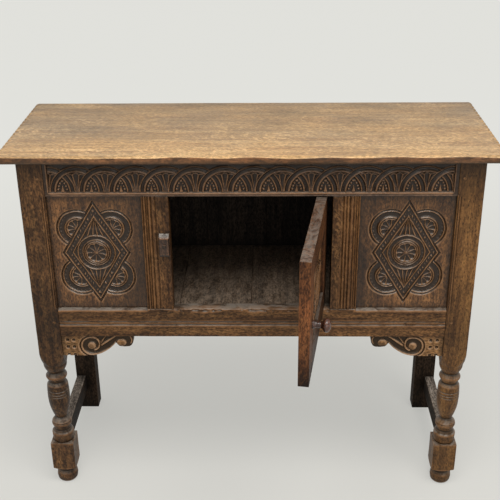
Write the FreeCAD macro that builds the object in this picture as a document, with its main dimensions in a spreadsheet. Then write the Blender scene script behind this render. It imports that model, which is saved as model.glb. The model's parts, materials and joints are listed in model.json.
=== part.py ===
import FreeCAD, Part
import Sketcher
import math
import os

# A joined oak court cupboard on turned front legs. Millimetres, +X to the right,
# +Y to the back, +Z up, the floor at Z = 0. Heights are measured from the floor,
# places across are measured from the middle of the front, and places in depth
# from the posts' front plane. The door stands open, as it is at rest.

doc = FreeCAD.newDocument("court_cupboard")
sheet = doc.addObject("Spreadsheet::Sheet", "sizes")
Vector = FreeCAD.Vector

# Driving dimensions
SIZES = [
    # top board
    ("top_width", 1070.0, "length of the top board"),
    ("top_depth", 400.0, "depth of the top board"),
    ("top_thickness", 17.0, "thickness of the top board"),
    ("top_underside", 855.0, "height of the top board's underside"),
    ("front_overhang", 22.0, "top board past the posts in front"),
    ("side_overhang", 38.0, "top board past the posts at each end"),
    ("rear_overhang", 8.0, "top board past the rear legs"),
    ("top_corner_radius", 10.0, "rounded corners of the top board"),
    ("top_edge_round", 3.0, "worn upper arris along the front"),
    ("notch_width", 9.0, "width of a chip notch on the ends"),
    ("notch_depth", 4.0, "how far a chip notch cuts in and down"),
    ("notch_margin", 20.0, "first and last notch from the corners"),
    # case
    ("post_side", 56.0, "side of the square front posts"),
    ("rear_leg_width", 54.0, "rear leg across the front"),
    ("rear_leg_thickness", 40.0, "rear leg front to back"),
    # turning of the front legs
    ("turning_drop", 42.0, "bottom rail down to where the turning starts"),
    ("block_top", 121.0, "top of the square stretcher block"),
    ("block_bottom", 48.0, "underside of the square stretcher block"),
    # front rails and muntins
    ("front_rail_thickness", 27.0, "thickness of the front rails and muntins"),
    ("top_rail_height", 80.0, "height of the carved top rail"),
    ("sill_height", 500.0, "height of the bottom rail's upper edge"),
    ("bottom_rail_height", 72.0, "height of the front bottom rail"),
    ("sill_bevel", 4.0, "bevel on the sill's upper arris"),
    ("opening_width", 353.0, "clear width of the door opening"),
    ("muntin_width", 60.0, "width of each muntin"),
    ("carved_band_rise", 10.0, "plain strip below the carved band"),
    ("carved_band_drop", 8.0, "plain strip above the carved band"),
    ("carved_band_margin", 10.0, "plain wood between post and carving"),
    ("carving_depth", 2.5, "depth of the sunk ground of the carving"),
    ("lunette_ridge", 3.2, "width of a lunette's ridge"),
    # mouldings
    ("scratch_width", 4.0, "width of a scratched groove"),
    ("scratch_depth", 2.0, "depth of a scratched groove"),
    ("rail_scratch_drop", 33.0, "sill down to the upper groove on the bottom rail"),
    ("rail_scratch_spacing", 8.5, "upper to lower groove on the bottom rail"),
    ("muntin_scratch_outer", 8.0, "outer groove from the panel's edge"),
    ("muntin_scratch_inner", 21.0, "inner groove from the panel's edge"),
    # joints of the front frame
    ("tenon_thickness", 9.0, "thickness of the tenons"),
    ("tenon_setback", 9.0, "front face to tenon"),
    ("tenon_shoulder", 10.0, "shoulder above and below a tenon"),
    ("post_tenon_length", 32.0, "rail tenon into the post"),
    ("muntin_tenon_length", 25.0, "muntin tenon into the rail"),
    ("groove_depth", 8.0, "depth of the panel grooves"),
    ("groove_setback", 12.0, "front face to panel groove"),
    ("tongue_thickness", 7.0, "thickness of a panel's edge"),
    ("tongue_play", 1.0, "room at the bottom of the panel grooves"),
    ("panel_setback", 9.0, "front face to panel face"),
    ("panel_thickness", 13.0, "thickness of the front panels"),
    ("panel_play", 0.5, "room around a panel's raised field"),
    ("incision", 1.6, "depth of the carving on the panels"),
    # sides
    ("side_rail_thickness", 24.0, "thickness of side rails and stretchers"),
    ("side_setback", 2.0, "side rails behind the posts' outer face"),
    ("side_tenon_length", 26.0, "side rail tenon into a leg"),
    ("side_panel_thickness", 11.0, "thickness of the side panels"),
    ("side_groove_setback", 8.0, "side rail's outer face to panel groove"),
    ("side_panel_setback", 6.0, "side rail's outer face to panel face"),
    ("stretcher_rise", 10.0, "block's underside up to the stretcher"),
    ("stretcher_height", 47.0, "height of the side stretchers"),
    # back
    ("rear_rail_thickness", 19.0, "thickness of the rear rails"),
    ("rear_top_rail_height", 66.0, "height of the rear top rail"),
    ("rear_tenon_length", 28.0, "rear rail tenon into the leg"),
    ("rear_tenon_thickness", 8.0, "thickness of the rear rail tenons"),
    ("back_board_thickness", 10.0, "thickness of the back boards"),
    ("back_board_rise", 8.0, "rear bottom rail's lower edge up to the boards"),
    ("back_board_drop", 9.0, "top board down to the boards"),
    ("board_gap", 0.8, "shrinkage gap between boards"),
    ("board_lap", 8.0, "how far a board's edge laps its neighbour"),
    ("lap_play", 0.2, "play between two lapped edges"),
    # floor
    ("floor_drop", 3.0, "sill down to the cupboard floor"),
    ("floor_thickness", 11.0, "thickness of the floor boards"),
    ("ledger_side", 20.0, "side of the square floor ledger"),
    # brackets
    ("bracket_length", 168.0, "bracket along the bottom rail"),
    ("bracket_drop", 54.0, "bracket below the bottom rail"),
    ("bracket_thickness", 20.0, "thickness of the brackets"),
    ("bracket_setback", 3.0, "bracket behind the posts' front plane"),
    # door
    ("door_open_angle", 81.6, "degrees that the door stands open at rest"),
    ("door_thickness", 22.0, "thickness of the door"),
    ("door_gap", 2.0, "gap above and below the door"),
    ("door_side_gap", 2.4, "gap beside the door"),
    ("door_arris_round", 5.0, "rounded arris that clears the jamb"),
    ("door_stile_width", 60.0, "width of the door stiles"),
    ("door_rail_height", 58.0, "height of the door rails"),
    ("door_tenon_thickness", 8.0, "thickness of the door's tenons"),
    ("door_tenon_length", 34.0, "door rail tenon into the stile"),
    ("door_tenon_shoulder", 12.0, "shoulder at the outer edge of a door tenon"),
    ("door_groove_setback", 9.0, "door face to panel groove"),
    ("door_tongue_thickness", 6.0, "thickness of the door panel's edge"),
    ("door_panel_setback", 6.0, "door face to door panel face"),
    ("door_panel_thickness", 10.0, "thickness of the door panel"),
    ("door_scratch_margin", 9.0, "scratched groove from the door panel's edge"),
    ("pivot_setback", 20.0, "pivot pin from the door's hinge edge"),
    ("pivot_radius", 4.0, "radius of the pivot pins"),
    ("pivot_depth", 18.0, "pivot pin in the door and in the rail"),
    ("pivot_play", 0.05, "running clearance round a pivot pin"),
    ("pivot_end_play", 0.3, "room at the end of a pivot pin"),
    ("stop_leg", 20.0, "legs of the triangular door stop"),
    ("stop_thickness", 14.0, "thickness of the door stop"),
    ("stop_play", 0.3, "closed door to its stop"),
    # knob
    ("knob_rise", 120.0, "door's lower edge up to the knob"),
    ("knob_from_edge", 38.0, "knob from the door's free edge"),
    ("knob_radius", 14.0, "radius of the knob's head"),
    ("knob_projection", 37.0, "knob from the door's face"),
    ("knob_spigot_radius", 5.0, "radius of the knob's spigot"),
    # turn button
    ("button_width", 22.0, "width of the turn button"),
    ("button_length", 54.0, "length of the turn button"),
    ("button_thickness", 10.0, "thickness of the turn button"),
    ("button_play", 0.3, "turn button to muntin"),
    ("button_rise", 162.0, "sill up to the turn button's nail"),
    ("button_from_jamb", 13.0, "turn button's nail from the opening"),
    ("button_bevel", 3.0, "bevel on the ends of the turn button"),
    ("nail_radius", 1.7, "radius of a forged nail's shank"),
    ("nail_head_radius", 4.0, "radius of a forged nail's head"),
    ("nail_head_rise", 1.8, "rise of a forged nail's head"),
    ("nail_bite", 14.0, "nail driven into the wood behind"),
    # pegs
    ("peg_radius", 4.0, "radius of the oak pegs"),
    ("peg_from_shoulder", 12.0, "peg from the tenon's shoulder"),
    ("peg_proud", 0.6, "peg standing proud of the face"),
    ("peg_length", 30.0, "length of a peg"),
    ("side_peg_length", 23.0, "length of a peg in the sides"),
    ("board_nail_bite", 14.0, "nail driven into a rear rail"),
    ("board_nail_side", 3.2, "side of a board nail's square shank"),
    ("board_nail_head_side", 8.0, "side of a board nail's head"),
    ("board_nail_head_rise", 1.6, "rise of a board nail's head"),
    # cutting
    ("overrun", 3.0, "how far a cut runs past the wood"),
]

# Turned part of a front leg, from the stretcher block up: share of the way to the
# square post above, and the radius as a share of the post's half side.
TURNED_SHARES = [
    (0.000, 0.910),
    (0.090, 0.910),
    (0.132, 0.700),
    (0.190, 0.865),
    (0.257, 0.500),
    (0.400, 0.900),
    (0.600, 0.900),
    (0.645, 0.680),
    (0.699, 0.920),
    (0.747, 0.665),
    (0.860, 0.960),
    (1.000, 1.430),
]

# The same for the foot, from the floor up to the stretcher block.
FOOT_SHARES = [
    (0.00, 0.84),
    (0.52, 0.84),
    (0.70, 0.68),
    (1.00, 1.43),
]

# Outline of a bracket: share of its length from the post, share of its drop, and
# the swell of the arc up to the next point, as a share of the drop.
BRACKET_SHARES = [
    (0.000, 0.000, 0.0),
    (0.000, 1.000, 0.0),
    (0.232, 1.000, 0.0),
    (0.247, 0.790, 0.07),
    (0.400, 0.913, 0.12),
    (0.760, 0.352, 0.08),
    (0.875, 0.620, 0.11),
    (0.993, 0.240, 0.03),
    (1.000, 0.000, 0.0),
]

# Joints between boards, as shares of the clear width between the rear legs and
# between the side rails.
BACK_JOINT_SHARES = [0.0, 0.183, 0.357, 0.530, 0.705, 0.878, 1.0]
FLOOR_JOINT_SHARES = [0.0, 0.152, 0.325, 0.499, 0.672, 0.845, 1.0]

# Lunettes on the top rail: their number, and the radii of the outer and inner arch
# as shares of the step from one lunette to the next. Each arch is seen from its left
# foot over the top to where it dips behind the next lunette, and again below that
# one's inner arch: share of the radius, first and last angle, straight cuts.
LUNETTES = 14
LUNETTE_OUTER_SHARE = 0.93
LUNETTE_INNER_SHARE = 0.755
ARCH_SHARES = [
    (LUNETTE_OUTER_SHARE, 180, 57, 5),
    (LUNETTE_INNER_SHARE, 180, 61.5, 4),
    (LUNETTE_OUTER_SHARE, 44, 0, 2),
    (LUNETTE_INNER_SHARE, 46, 0, 1),
]
LAST_ARCH_SHARES = [
    (LUNETTE_OUTER_SHARE, 180, 90, 4),
    (LUNETTE_INNER_SHARE, 180, 90, 4),
]

# Chip notches on each end of the top board.
NOTCHES = 12

# Turned knob: share of the projection from the door's face, share of the radius.
KNOB_SHARES = [
    (0.00, 0.50),
    (0.45, 0.50),
    (0.45, 1.00),
    (0.86, 1.00),
    (1.00, 0.80),
]

# The eight corners of a whittled peg, as shares of its radius.
PEG_SHARES = [(math.cos(math.radians(turn)), math.sin(math.radians(turn)))
              for turn in range(0, 360, 45)]

# Relief of a panel. Half width and half height of the lozenge, outer and inner line
# of its border and the edge of its inner field, as shares of the panel's width and
# height between the frame. Then the rings of the roundel, as shares of that width.
LOZENGE_SHARES = [(0.347, 0.4255), (0.318, 0.386)]
ROUNDEL_SHARES = [0.191, 0.172, 0.132, 0.110]

# Corner roundels grow out of the lozenge's sides. Their centre as shares of the
# panel's width and height, their radius as a share of that width, and how far round
# the outline goes from its outermost point, to either side.
CORNER_ROUNDEL_SHARES = (0.188, 0.213)
CORNER_ROUNDEL_RADIUS_SHARE = 0.210
CORNER_ROUNDEL_FACING = 31
CORNER_ROUNDEL_TURN = 89


class Size:
    """A length that knows its value and the sheet formula that it comes from."""

    def __init__(self, value, text):
        self.value = float(value)
        self.text = text

    def __add__(self, other):
        other = as_size(other)
        return Size(self.value + other.value, "(%s + %s)" % (self.text, other.text))

    def __sub__(self, other):
        other = as_size(other)
        return Size(self.value - other.value, "(%s - %s)" % (self.text, other.text))

    def __mul__(self, other):
        other = as_size(other)
        return Size(self.value * other.value, "(%s * %s)" % (self.text, other.text))

    def __truediv__(self, other):
        other = as_size(other)
        return Size(self.value / other.value, "(%s / %s)" % (self.text, other.text))

    def __neg__(self):
        return Size(-self.value, "(0 - %s)" % self.text)

    def __rmul__(self, other):
        return as_size(other) * self


def as_size(thing):
    """Take a Size as it is, and a plain factor or zero as its own text."""
    if isinstance(thing, Size):
        return thing
    return Size(thing, "%.6f" % thing)


class Sheet:
    """The named sizes, read as attributes."""

    def __init__(self, table):
        for row, (name, value, meaning) in enumerate(table, 1):
            sheet.set("A%d" % row, name)
            sheet.set("B%d" % row, str(value))
            sheet.set("C%d" % row, meaning)
            sheet.setAlias("B%d" % row, name)
            setattr(self, name, Size(value, "sizes." + name))


named = Sheet(SIZES)
doc.recompute()
zero = as_size(0)

# Planes and lines that several pieces share
half_case = named.top_width / 2 - named.side_overhang
case_depth = named.top_depth - named.front_overhang - named.rear_overhang
post_inner = half_case - named.post_side
rear_inner = half_case - named.rear_leg_width
rear_front = case_depth - named.rear_leg_thickness
back_plane = rear_front + named.rear_rail_thickness
rail_low = named.top_underside - named.top_rail_height
bottom_rail_low = named.sill_height - named.bottom_rail_height
jamb = named.opening_width / 2
muntin_outer = jamb + named.muntin_width
side_outer = half_case - named.side_setback
side_inner = side_outer - named.side_rail_thickness
post_middle = half_case - named.post_side / 2
floor_top = named.sill_height - named.floor_drop
floor_low = floor_top - named.floor_thickness
rear_top_rail_low = named.top_underside - named.rear_top_rail_height
tenon_back = named.tenon_setback + named.tenon_thickness
groove_back = named.groove_setback + named.tongue_thickness
side_tenon_outer = side_outer - (named.side_rail_thickness - named.tenon_thickness) / 2
side_tenon_inner = side_tenon_outer - named.tenon_thickness
side_groove_outer = side_outer - named.side_groove_setback
side_groove_inner = side_groove_outer - named.tongue_thickness
rear_tenon_front = rear_front + (named.rear_rail_thickness - named.rear_tenon_thickness) / 2
rear_tenon_back = rear_tenon_front + named.rear_tenon_thickness
stretcher_low = named.block_bottom + named.stretcher_rise
stretcher_high = stretcher_low + named.stretcher_height
turning_top = bottom_rail_low - named.turning_drop
band_low = rail_low + named.carved_band_rise
band_high = named.top_underside - named.carved_band_drop
back_board_low = bottom_rail_low + named.back_board_rise
back_board_high = named.top_underside - named.back_board_drop

# The pivot line of the door, and the door's own edges when it is shut
pivot_across = jamb - named.door_side_gap - named.pivot_setback
pivot_deep = named.door_thickness / 2
door_width = named.opening_width - 2 * named.door_side_gap
door_low = named.sill_height + named.door_gap
door_high = rail_low - named.door_gap
door_free = named.pivot_setback - door_width
knob_height = door_low + named.knob_rise

# The posts' front plane, placed so that the open door's reach and the top board's
# back edge lie equally far from Y = 0
sine = Size(math.sin(math.radians(named.door_open_angle.value)), "sin(sizes.door_open_angle)")
cosine = Size(math.cos(math.radians(named.door_open_angle.value)), "cos(sizes.door_open_angle)")
door_reach = pivot_deep + door_free * sine - pivot_deep * cosine
top_back = named.top_depth - named.front_overhang
front_plane = -(door_reach + top_back) / 2

AXES = {"XY_Plane": (0, 1, 2), "XZ_Plane": (0, 2, 1), "YZ_Plane": (1, 2, 0)}
PLANE_FACING = {"XY_Plane": 1, "XZ_Plane": -1, "YZ_Plane": 1}


def size_list(values):
    return [as_size(value) for value in values]


class Piece:
    """One piece of the cupboard: a body with its own place in the case.

    Coordinates are given in the case: across, deep and high. The piece's own
    origin lies at `corner` of the case, or at the door's pivot line.
    """

    def __init__(self, label, corner, turned_by=None):
        self.corner = size_list(corner)
        self.body = doc.addObject("PartDesign::Body", label)
        self.body.Label = label
        deep = self.corner[1] + front_plane
        if turned_by is not None:
            spin = FreeCAD.Rotation(Vector(0, 0, 1), turned_by.value)
            self.body.Placement = FreeCAD.Placement(Vector(0, 0, 0), spin)
            self.body.setExpression("Placement.Rotation.Angle", turned_by.text)
        self.body.setExpression("Placement.Base.x", self.corner[0].text)
        self.body.setExpression("Placement.Base.y", deep.text)
        self.body.setExpression("Placement.Base.z", self.corner[2].text)
        pieces.append(self.body)

    def sketch(self, name, plane, at):
        """A sketch on one of the body's own planes, moved to `at` along its normal."""
        sketch = self.body.newObject("Sketcher::SketchObject", name)
        role_plane = [item for item in self.body.Origin.OriginFeatures if item.Role == plane][0]
        sketch.AttachmentSupport = [(role_plane, "")]
        sketch.MapMode = "FlatFace"
        offset = (as_size(at) - self.corner[AXES[plane][2]]) * PLANE_FACING[plane]
        sketch.setExpression("AttachmentOffset.Base.z", offset.text)
        return sketch

    def place(self, plane, point):
        """A point of the case as a point of this piece's sketch plane."""
        across, up = AXES[plane][:2]
        return (as_size(point[0]) - self.corner[across], as_size(point[1]) - self.corner[up])

    def draw(self, sketch, plane, corners):
        """Draw a closed outline. A corner is (across, up) or (across, up, swell), where
        swell is the height of the arc to the next corner, on the right of the way."""
        count = len(corners)
        spots = [self.place(plane, corner) for corner in corners]
        swells = [as_size(corner[2]) if len(corner) > 2 else zero for corner in corners]
        flat = [Vector(spot[0].value, spot[1].value, 0) for spot in spots]
        first = sketch.GeometryCount
        edges = []
        for index in range(count):
            here, there = flat[index], flat[(index + 1) % count]
            if swells[index].value == 0:
                edges.append(Part.LineSegment(here, there))
                continue
            way = there - here
            side = Vector(way.y, -way.x, 0).normalize() * swells[index].value
            edges.append(Part.ArcOfCircle(*arc_points(here, (here + there) / 2 + side, there)))
        sketch.addGeometry(edges, False)
        rules = []
        for index in range(count):
            rules.append((join_edges(edges, first, index, (index + 1) % count), None))
        for index in range(count):
            end = start_point(edges[index], flat[index])
            rules += pin_point(first + index, end, spots[index])
            if swells[index].value:
                across = spots[(index + 1) % count][0] - spots[index][0]
                up = spots[(index + 1) % count][1] - spots[index][1]
                chord = across * across + up * up
                swell = swells[index] if swells[index].value > 0 else -swells[index]
                radius = (chord / 4 + swell * swell) / (2 * swell)
                rule = Sketcher.Constraint("Radius", first + index, radius.value)
                rules.append((rule, radius))
        tie(sketch, rules)

    def disc(self, sketch, plane, centre, radius):
        """Draw a circle."""
        across, up = self.place(plane, centre)
        radius = as_size(radius)
        middle = Vector(across.value, up.value, 0)
        edge = sketch.addGeometry(Part.Circle(middle, Vector(0, 0, 1), radius.value), False)
        rule = Sketcher.Constraint("Radius", edge, radius.value)
        tie(sketch, pin_point(edge, 3, (across, up)) + [(rule, radius)])

    def feature(self, kind, name, sketch, length, backwards):
        """A pad or pocket of `sketch` along its plane's normal."""
        made = self.body.newObject("PartDesign::" + kind, name)
        made.Profile = sketch
        made.setExpression("Length", as_size(length).text)
        made.Reversed = backwards
        sketch.Visibility = False
        return made

    def pad(self, name, plane, at, corners, to):
        """Add wood: an outline at `at` on a plane, taken on to `to`."""
        sketch = self.sketch(name + "_outline", plane, at)
        self.draw(sketch, plane, corners)
        return self.grow(name, plane, sketch, at, to)

    def grow(self, name, plane, sketch, at, to):
        away = as_size(to) - as_size(at)
        forwards = away.value * PLANE_FACING[plane] > 0
        length = away if away.value > 0 else -away
        return self.feature("Pad", name, sketch, length, not forwards)

    def pocket(self, name, plane, at, corners, to):
        """Take wood away: an outline at `at` on a plane, taken on to `to`."""
        sketch = self.sketch(name + "_outline", plane, at)
        self.draw(sketch, plane, corners)
        return self.sink(name, plane, sketch, at, to)

    def sink(self, name, plane, sketch, at, to):
        away = as_size(to) - as_size(at)
        forwards = away.value * PLANE_FACING[plane] > 0
        length = away if away.value > 0 else -away
        return self.feature("Pocket", name, sketch, length, forwards)

    def block(self, name, low, high):
        """Add a squared length of wood between two corners of the case."""
        return self.pad(name, "XY_Plane", low[2], corners_of(low, high), high[2])

    def slot(self, name, low, high):
        """Cut a squared mortise, groove or notch between two corners of the case."""
        return self.pocket(name, "XY_Plane", high[2], corners_of(low, high), low[2])

    def holes(self, name, plane, at, centres, radius, to):
        """Bore equal holes from `at` to `to`."""
        sketch = self.sketch(name + "_outline", plane, at)
        for centre in centres:
            self.disc(sketch, plane, centre, radius)
        return self.sink(name, plane, sketch, at, to)

    def dress(self, kind, name, edges, size):
        """Fillet or chamfer some edges of the latest step."""
        before = self.body.Tip
        made = self.body.newObject("PartDesign::" + kind, name)
        made.Base = (before, edges)
        made.setExpression("Radius" if kind == "Fillet" else "Size", size.text)
        return made

    def peg_holes(self, name, plane, at, centres, to):
        """Peg holes from `at` to `to`, in the eight-sided shape of the driven pegs."""
        sketch = self.sketch(name + "_outline", plane, at)
        for centre in centres:
            self.draw(sketch, plane, [(centre[0] + named.peg_radius * share[0],
                                       centre[1] + named.peg_radius * share[1])
                                      for share in PEG_SHARES])
        return self.sink(name, plane, sketch, at, to)

    def nail_holes(self, name, plane, at, centres, to):
        """Square holes of board nails from `at` to `to`."""
        half = named.board_nail_side / 2
        sketch = self.sketch(name + "_outline", plane, at)
        for centre in centres:
            low = (centre[0] - half, centre[1] - half)
            self.draw(sketch, plane, corners_of(low, (centre[0] + half, centre[1] + half)))
        return self.sink(name, plane, sketch, at, to)

    def turn_away(self, name, corners):
        """Turn away wood outside a profile of radius and height, round the own axis."""
        sketch = self.sketch(name + "_profile", "XZ_Plane", self.corner[1])
        self.draw(sketch, "XZ_Plane", corners)
        groove = self.body.newObject("PartDesign::Groove", name)
        groove.Profile = sketch
        groove.ReferenceAxis = (sketch, ["V_Axis"])
        groove.Angle = 360
        sketch.Visibility = False
        return groove


def arc_points(start, middle, end):
    """Circle and angles of the arc through three points, anticlockwise."""
    arc = Part.Arc(start, middle, end).toShape().Curve
    centre = arc.Center
    angles = [math.atan2(p.y - centre.y, p.x - centre.x) for p in (start, middle, end)]
    turn = 2 * math.pi
    to_middle = (angles[1] - angles[0]) % turn
    to_end = (angles[2] - angles[0]) % turn
    if to_middle > to_end:
        angles = angles[::-1]
        to_end = turn - to_end
    circle = Part.Circle(centre, Vector(0, 0, 1), arc.Radius)
    return circle, angles[0], angles[0] + to_end


def start_point(edge, spot):
    """Which end of an edge lies at `spot`: 1 its start, 2 its end."""
    return 1 if (edge.StartPoint - spot).Length < (edge.EndPoint - spot).Length else 2


def join_edges(edges, first, index, follower):
    """The rule that makes two neighbouring edges meet in one point."""
    pairs = []
    for end, spot in ((1, edges[index].StartPoint), (2, edges[index].EndPoint)):
        for other, other_spot in ((1, edges[follower].StartPoint), (2, edges[follower].EndPoint)):
            pairs.append(((spot - other_spot).Length, end, other))
    gap, end, other = min(pairs)
    return Sketcher.Constraint("Coincident", first + index, end, first + follower, other)


def pin_point(edge, end, spot):
    """The two rules that place a point from the sketch's origin, with their sizes."""
    return [(Sketcher.Constraint(kind, -1, 1, edge, end, size.value), size)
            for kind, size in (("DistanceX", spot[0]), ("DistanceY", spot[1]))]


def tie(sketch, rules):
    """Add rules to a sketch. A rule that comes with a size follows the sheet."""
    first = sketch.ConstraintCount
    sketch.addConstraint([rule for rule, size in rules])
    for number, (rule, size) in enumerate(rules, first):
        if size is not None:
            sketch.setExpression("Constraints[%d]" % number, size.text)


def corners_of(low, high):
    return [(low[0], low[1]), (high[0], low[1]), (high[0], high[1]), (low[0], high[1])]


def across(side, near, far):
    """Two places across on the left (-1) or right (+1) of the case, lower one first."""
    near, far = as_size(near) * side, as_size(far) * side
    return (near, far) if near.value < far.value else (far, near)


def box(side, near, far, front, back, low, high):
    """Low and high corner of a box on the left or right of the case."""
    left, right = across(side, near, far)
    return (left, front, low), (right, back, high)


pieces = []
SIDES = (("left", -1), ("right", 1))


def make_top_board():
    """The top: one wide board with rounded corners, a worn front arris and
    chip-cut notches along the upper arris of both ends."""
    half = named.top_width / 2
    low_y = -named.front_overhang
    high_z = named.top_underside + named.top_thickness
    top = Piece("top_board", (zero, low_y, named.top_underside))
    top.block("board", (-half, low_y, named.top_underside), (half, top_back, high_z))
    doc.recompute()
    upright = [edge_name(top.body.Shape, "upright", index) for index in range(4)]
    top.dress("Fillet", "rounded_corners", upright, named.top_corner_radius)
    doc.recompute()
    upper = edge_name(top.body.Shape, "front", 0)
    top.dress("Chamfer", "worn_upper_arris", [upper], named.top_edge_round)
    first = low_y + named.notch_margin
    last = top_back - named.notch_margin
    for side_name, side in SIDES:
        edge = half * side
        sketch = top.sketch(side_name + "_notch_outline", "XZ_Plane", first + named.notch_width / 2)
        inner = edge - named.notch_depth * side
        outer = edge + named.overrun * side
        drop = high_z - named.notch_depth
        rise = high_z + named.overrun
        cut = [(inner, high_z), (edge, drop), (outer, drop), (outer, rise), (inner, rise)]
        top.draw(sketch, "XZ_Plane", cut if side > 0 else cut[::-1])
        notch = top.sink(side_name + "_notch", "XZ_Plane", sketch,
                         first + named.notch_width / 2, first - named.notch_width / 2)
        row = top.body.newObject("PartDesign::LinearPattern", side_name + "_notches")
        row.Originals = [notch]
        row.Direction = (sketch, ["N_Axis"])
        row.Reversed = True
        row.setExpression("Length", (last - first).text)
        row.Occurrences = NOTCHES
        top.body.Tip = row
    return top


def edge_name(shape, kind, index):
    """Name of an edge: an upright corner, or the long upper front arris."""
    box_ = shape.BoundBox
    found = []
    for number, edge in enumerate(shape.Edges, 1):
        run = edge.BoundBox
        if kind == "upright" and run.ZLength > max(run.XLength, run.YLength):
            found.append("Edge%d" % number)
        if kind == "front" and run.XLength > box_.XLength / 2:
            if run.YMax < box_.Center.y and run.ZMin > box_.Center.z:
                found.append("Edge%d" % number)
    return found[index]


def make_front_leg(side_name, side):
    """Front post and leg in one: square above for the frame's mortises, turned
    below it, square again for the stretcher, and a turned foot."""
    centre = (post_middle * side, named.post_side / 2, zero)
    leg = Piece("front_%s_leg" % side_name, centre)
    leg.block("squared_post", *box(side, half_case, post_inner, zero, named.post_side,
                                   zero, named.top_underside))
    half = named.post_side / 2
    clear = named.post_side
    turned = turning_top - named.block_top
    profile = [(centre[0] + clear, turning_top), (centre[0] + clear, named.block_top)]
    points = []
    for height, radius in TURNED_SHARES:
        points.append((centre[0] + half * radius, named.block_top + turned * height))
    leg.turn_away("turned_stem", wrap_profile(points, centre[0] + clear))
    points = []
    for height, radius in FOOT_SHARES:
        points.append((centre[0] + half * radius, named.block_bottom * height))
    leg.turn_away("turned_foot", wrap_profile(points, centre[0] + clear))
    # mortises of the two front rails, and the panel groove between them
    deep = (post_inner + named.post_tenon_length)
    for name, low, high in (("top", rail_low, named.top_underside),
                            ("bottom", bottom_rail_low, named.sill_height)):
        leg.slot(name + "_rail_mortise", *box(side, post_inner - named.overrun, deep,
                 named.tenon_setback, tenon_back, low + named.tenon_shoulder,
                 high - named.tenon_shoulder))
        back = named.post_side - named.side_tenon_length
        leg.slot(name + "_side_mortise", *box(side, side_tenon_inner, side_tenon_outer,
                 back, named.post_side + named.overrun, low + named.tenon_shoulder,
                 high - named.tenon_shoulder))
    leg.slot("panel_groove", *box(side, post_inner - named.overrun, post_inner + named.groove_depth,
             named.groove_setback, groove_back, named.sill_height - named.groove_depth,
             rail_low + named.groove_depth))
    leg.slot("side_panel_groove", *box(side, side_groove_inner, side_groove_outer,
             named.post_side - named.groove_depth, named.post_side + named.overrun,
             named.sill_height - named.groove_depth, rail_low + named.groove_depth))
    leg.slot("stretcher_mortise", *box(side, side_tenon_inner, side_tenon_outer,
             named.post_side - named.side_tenon_length, named.post_side + named.overrun,
             stretcher_low + named.tenon_shoulder, stretcher_high - named.tenon_shoulder))
    leg.peg_holes("peg_holes", "XZ_Plane", -named.overrun, front_peg_places(side),
                  named.peg_length)
    bore_side_pegs(leg, side, side_peg_places()[0])
    return leg


def wrap_profile(points, outside):
    """Close a turned profile with a straight line well outside the wood."""
    low = (outside, points[0][1])
    high = (outside, points[-1][1])
    return points + [high, low]


def front_peg_places(side):
    """The pegs that lock the front rails into a post."""
    across_ = (post_inner + named.peg_from_shoulder) * side
    upper = (rail_low + named.top_underside) / 2
    lower = (bottom_rail_low + named.sill_height) / 2
    return [(across_, upper), (across_, lower)]


def rail_middles():
    """Middle heights of the side rails and the stretcher."""
    return ((rail_low + named.top_underside) / 2, (bottom_rail_low + named.sill_height) / 2,
            (stretcher_low + stretcher_high) / 2)


def side_peg_places():
    """The pegs that lock the side rails and stretcher: deep and high."""
    front = named.post_side - named.peg_from_shoulder
    rear = rear_front + named.peg_from_shoulder
    return [(front, high) for high in rail_middles()], [(rear, high) for high in rail_middles()]


def bore_side_pegs(piece, side, places):
    """Bore the holes of the side pegs through the outer face."""
    outer = (half_case + named.overrun) * side
    inner = (half_case - named.side_peg_length) * side
    piece.peg_holes("side_peg_holes", "YZ_Plane", outer, places, inner)


def rear_peg_places(side):
    """The pegs that lock the rear rails into a rear leg: across and high."""
    across_ = (rear_inner + named.peg_from_shoulder) * side
    return [(across_, (rear_top_rail_low + named.top_underside) / 2),
            (across_, (bottom_rail_low + floor_low) / 2)]


def make_rear_leg(side_name, side):
    """Plain square rear leg, mortised for the side and rear rails."""
    centre = (half_case - named.rear_leg_width / 2) * side
    leg = Piece("rear_%s_leg" % side_name, (centre, rear_front, zero))
    leg.block("squared_leg", *box(side, half_case, rear_inner, rear_front, case_depth,
                                  zero, named.top_underside))
    deep = rear_front + named.side_tenon_length
    rails = (("side_top", rail_low, named.top_underside),
             ("side_bottom", bottom_rail_low, named.sill_height),
             ("stretcher", stretcher_low, stretcher_high))
    for name, low, high in rails:
        leg.slot(name + "_mortise", *box(side, side_tenon_inner, side_tenon_outer,
                 rear_front - named.overrun, deep, low + named.tenon_shoulder,
                 high - named.tenon_shoulder))
    leg.slot("side_panel_groove", *box(side, side_groove_inner, side_groove_outer,
             rear_front - named.overrun, rear_front + named.groove_depth,
             named.sill_height - named.groove_depth, rail_low + named.groove_depth))
    for name, low, high in (("rear_top", rear_top_rail_low, named.top_underside),
                            ("rear_bottom", bottom_rail_low, floor_low)):
        leg.slot(name + "_mortise", *box(side, rear_inner - named.overrun,
                 rear_inner + named.rear_tenon_length, rear_tenon_front, rear_tenon_back,
                 low + named.tenon_shoulder, high - named.tenon_shoulder))
    leg.peg_holes("peg_holes", "XZ_Plane", case_depth + named.overrun, rear_peg_places(side),
                  case_depth - named.peg_length)
    bore_side_pegs(leg, side, side_peg_places()[1])
    return leg


def lunette_pitch():
    """The carved band's length over its whole steps and the last arch's half width."""
    return (post_inner - named.carved_band_margin) * 2 / (LUNETTES - 1 + LUNETTE_OUTER_SHARE)


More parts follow.
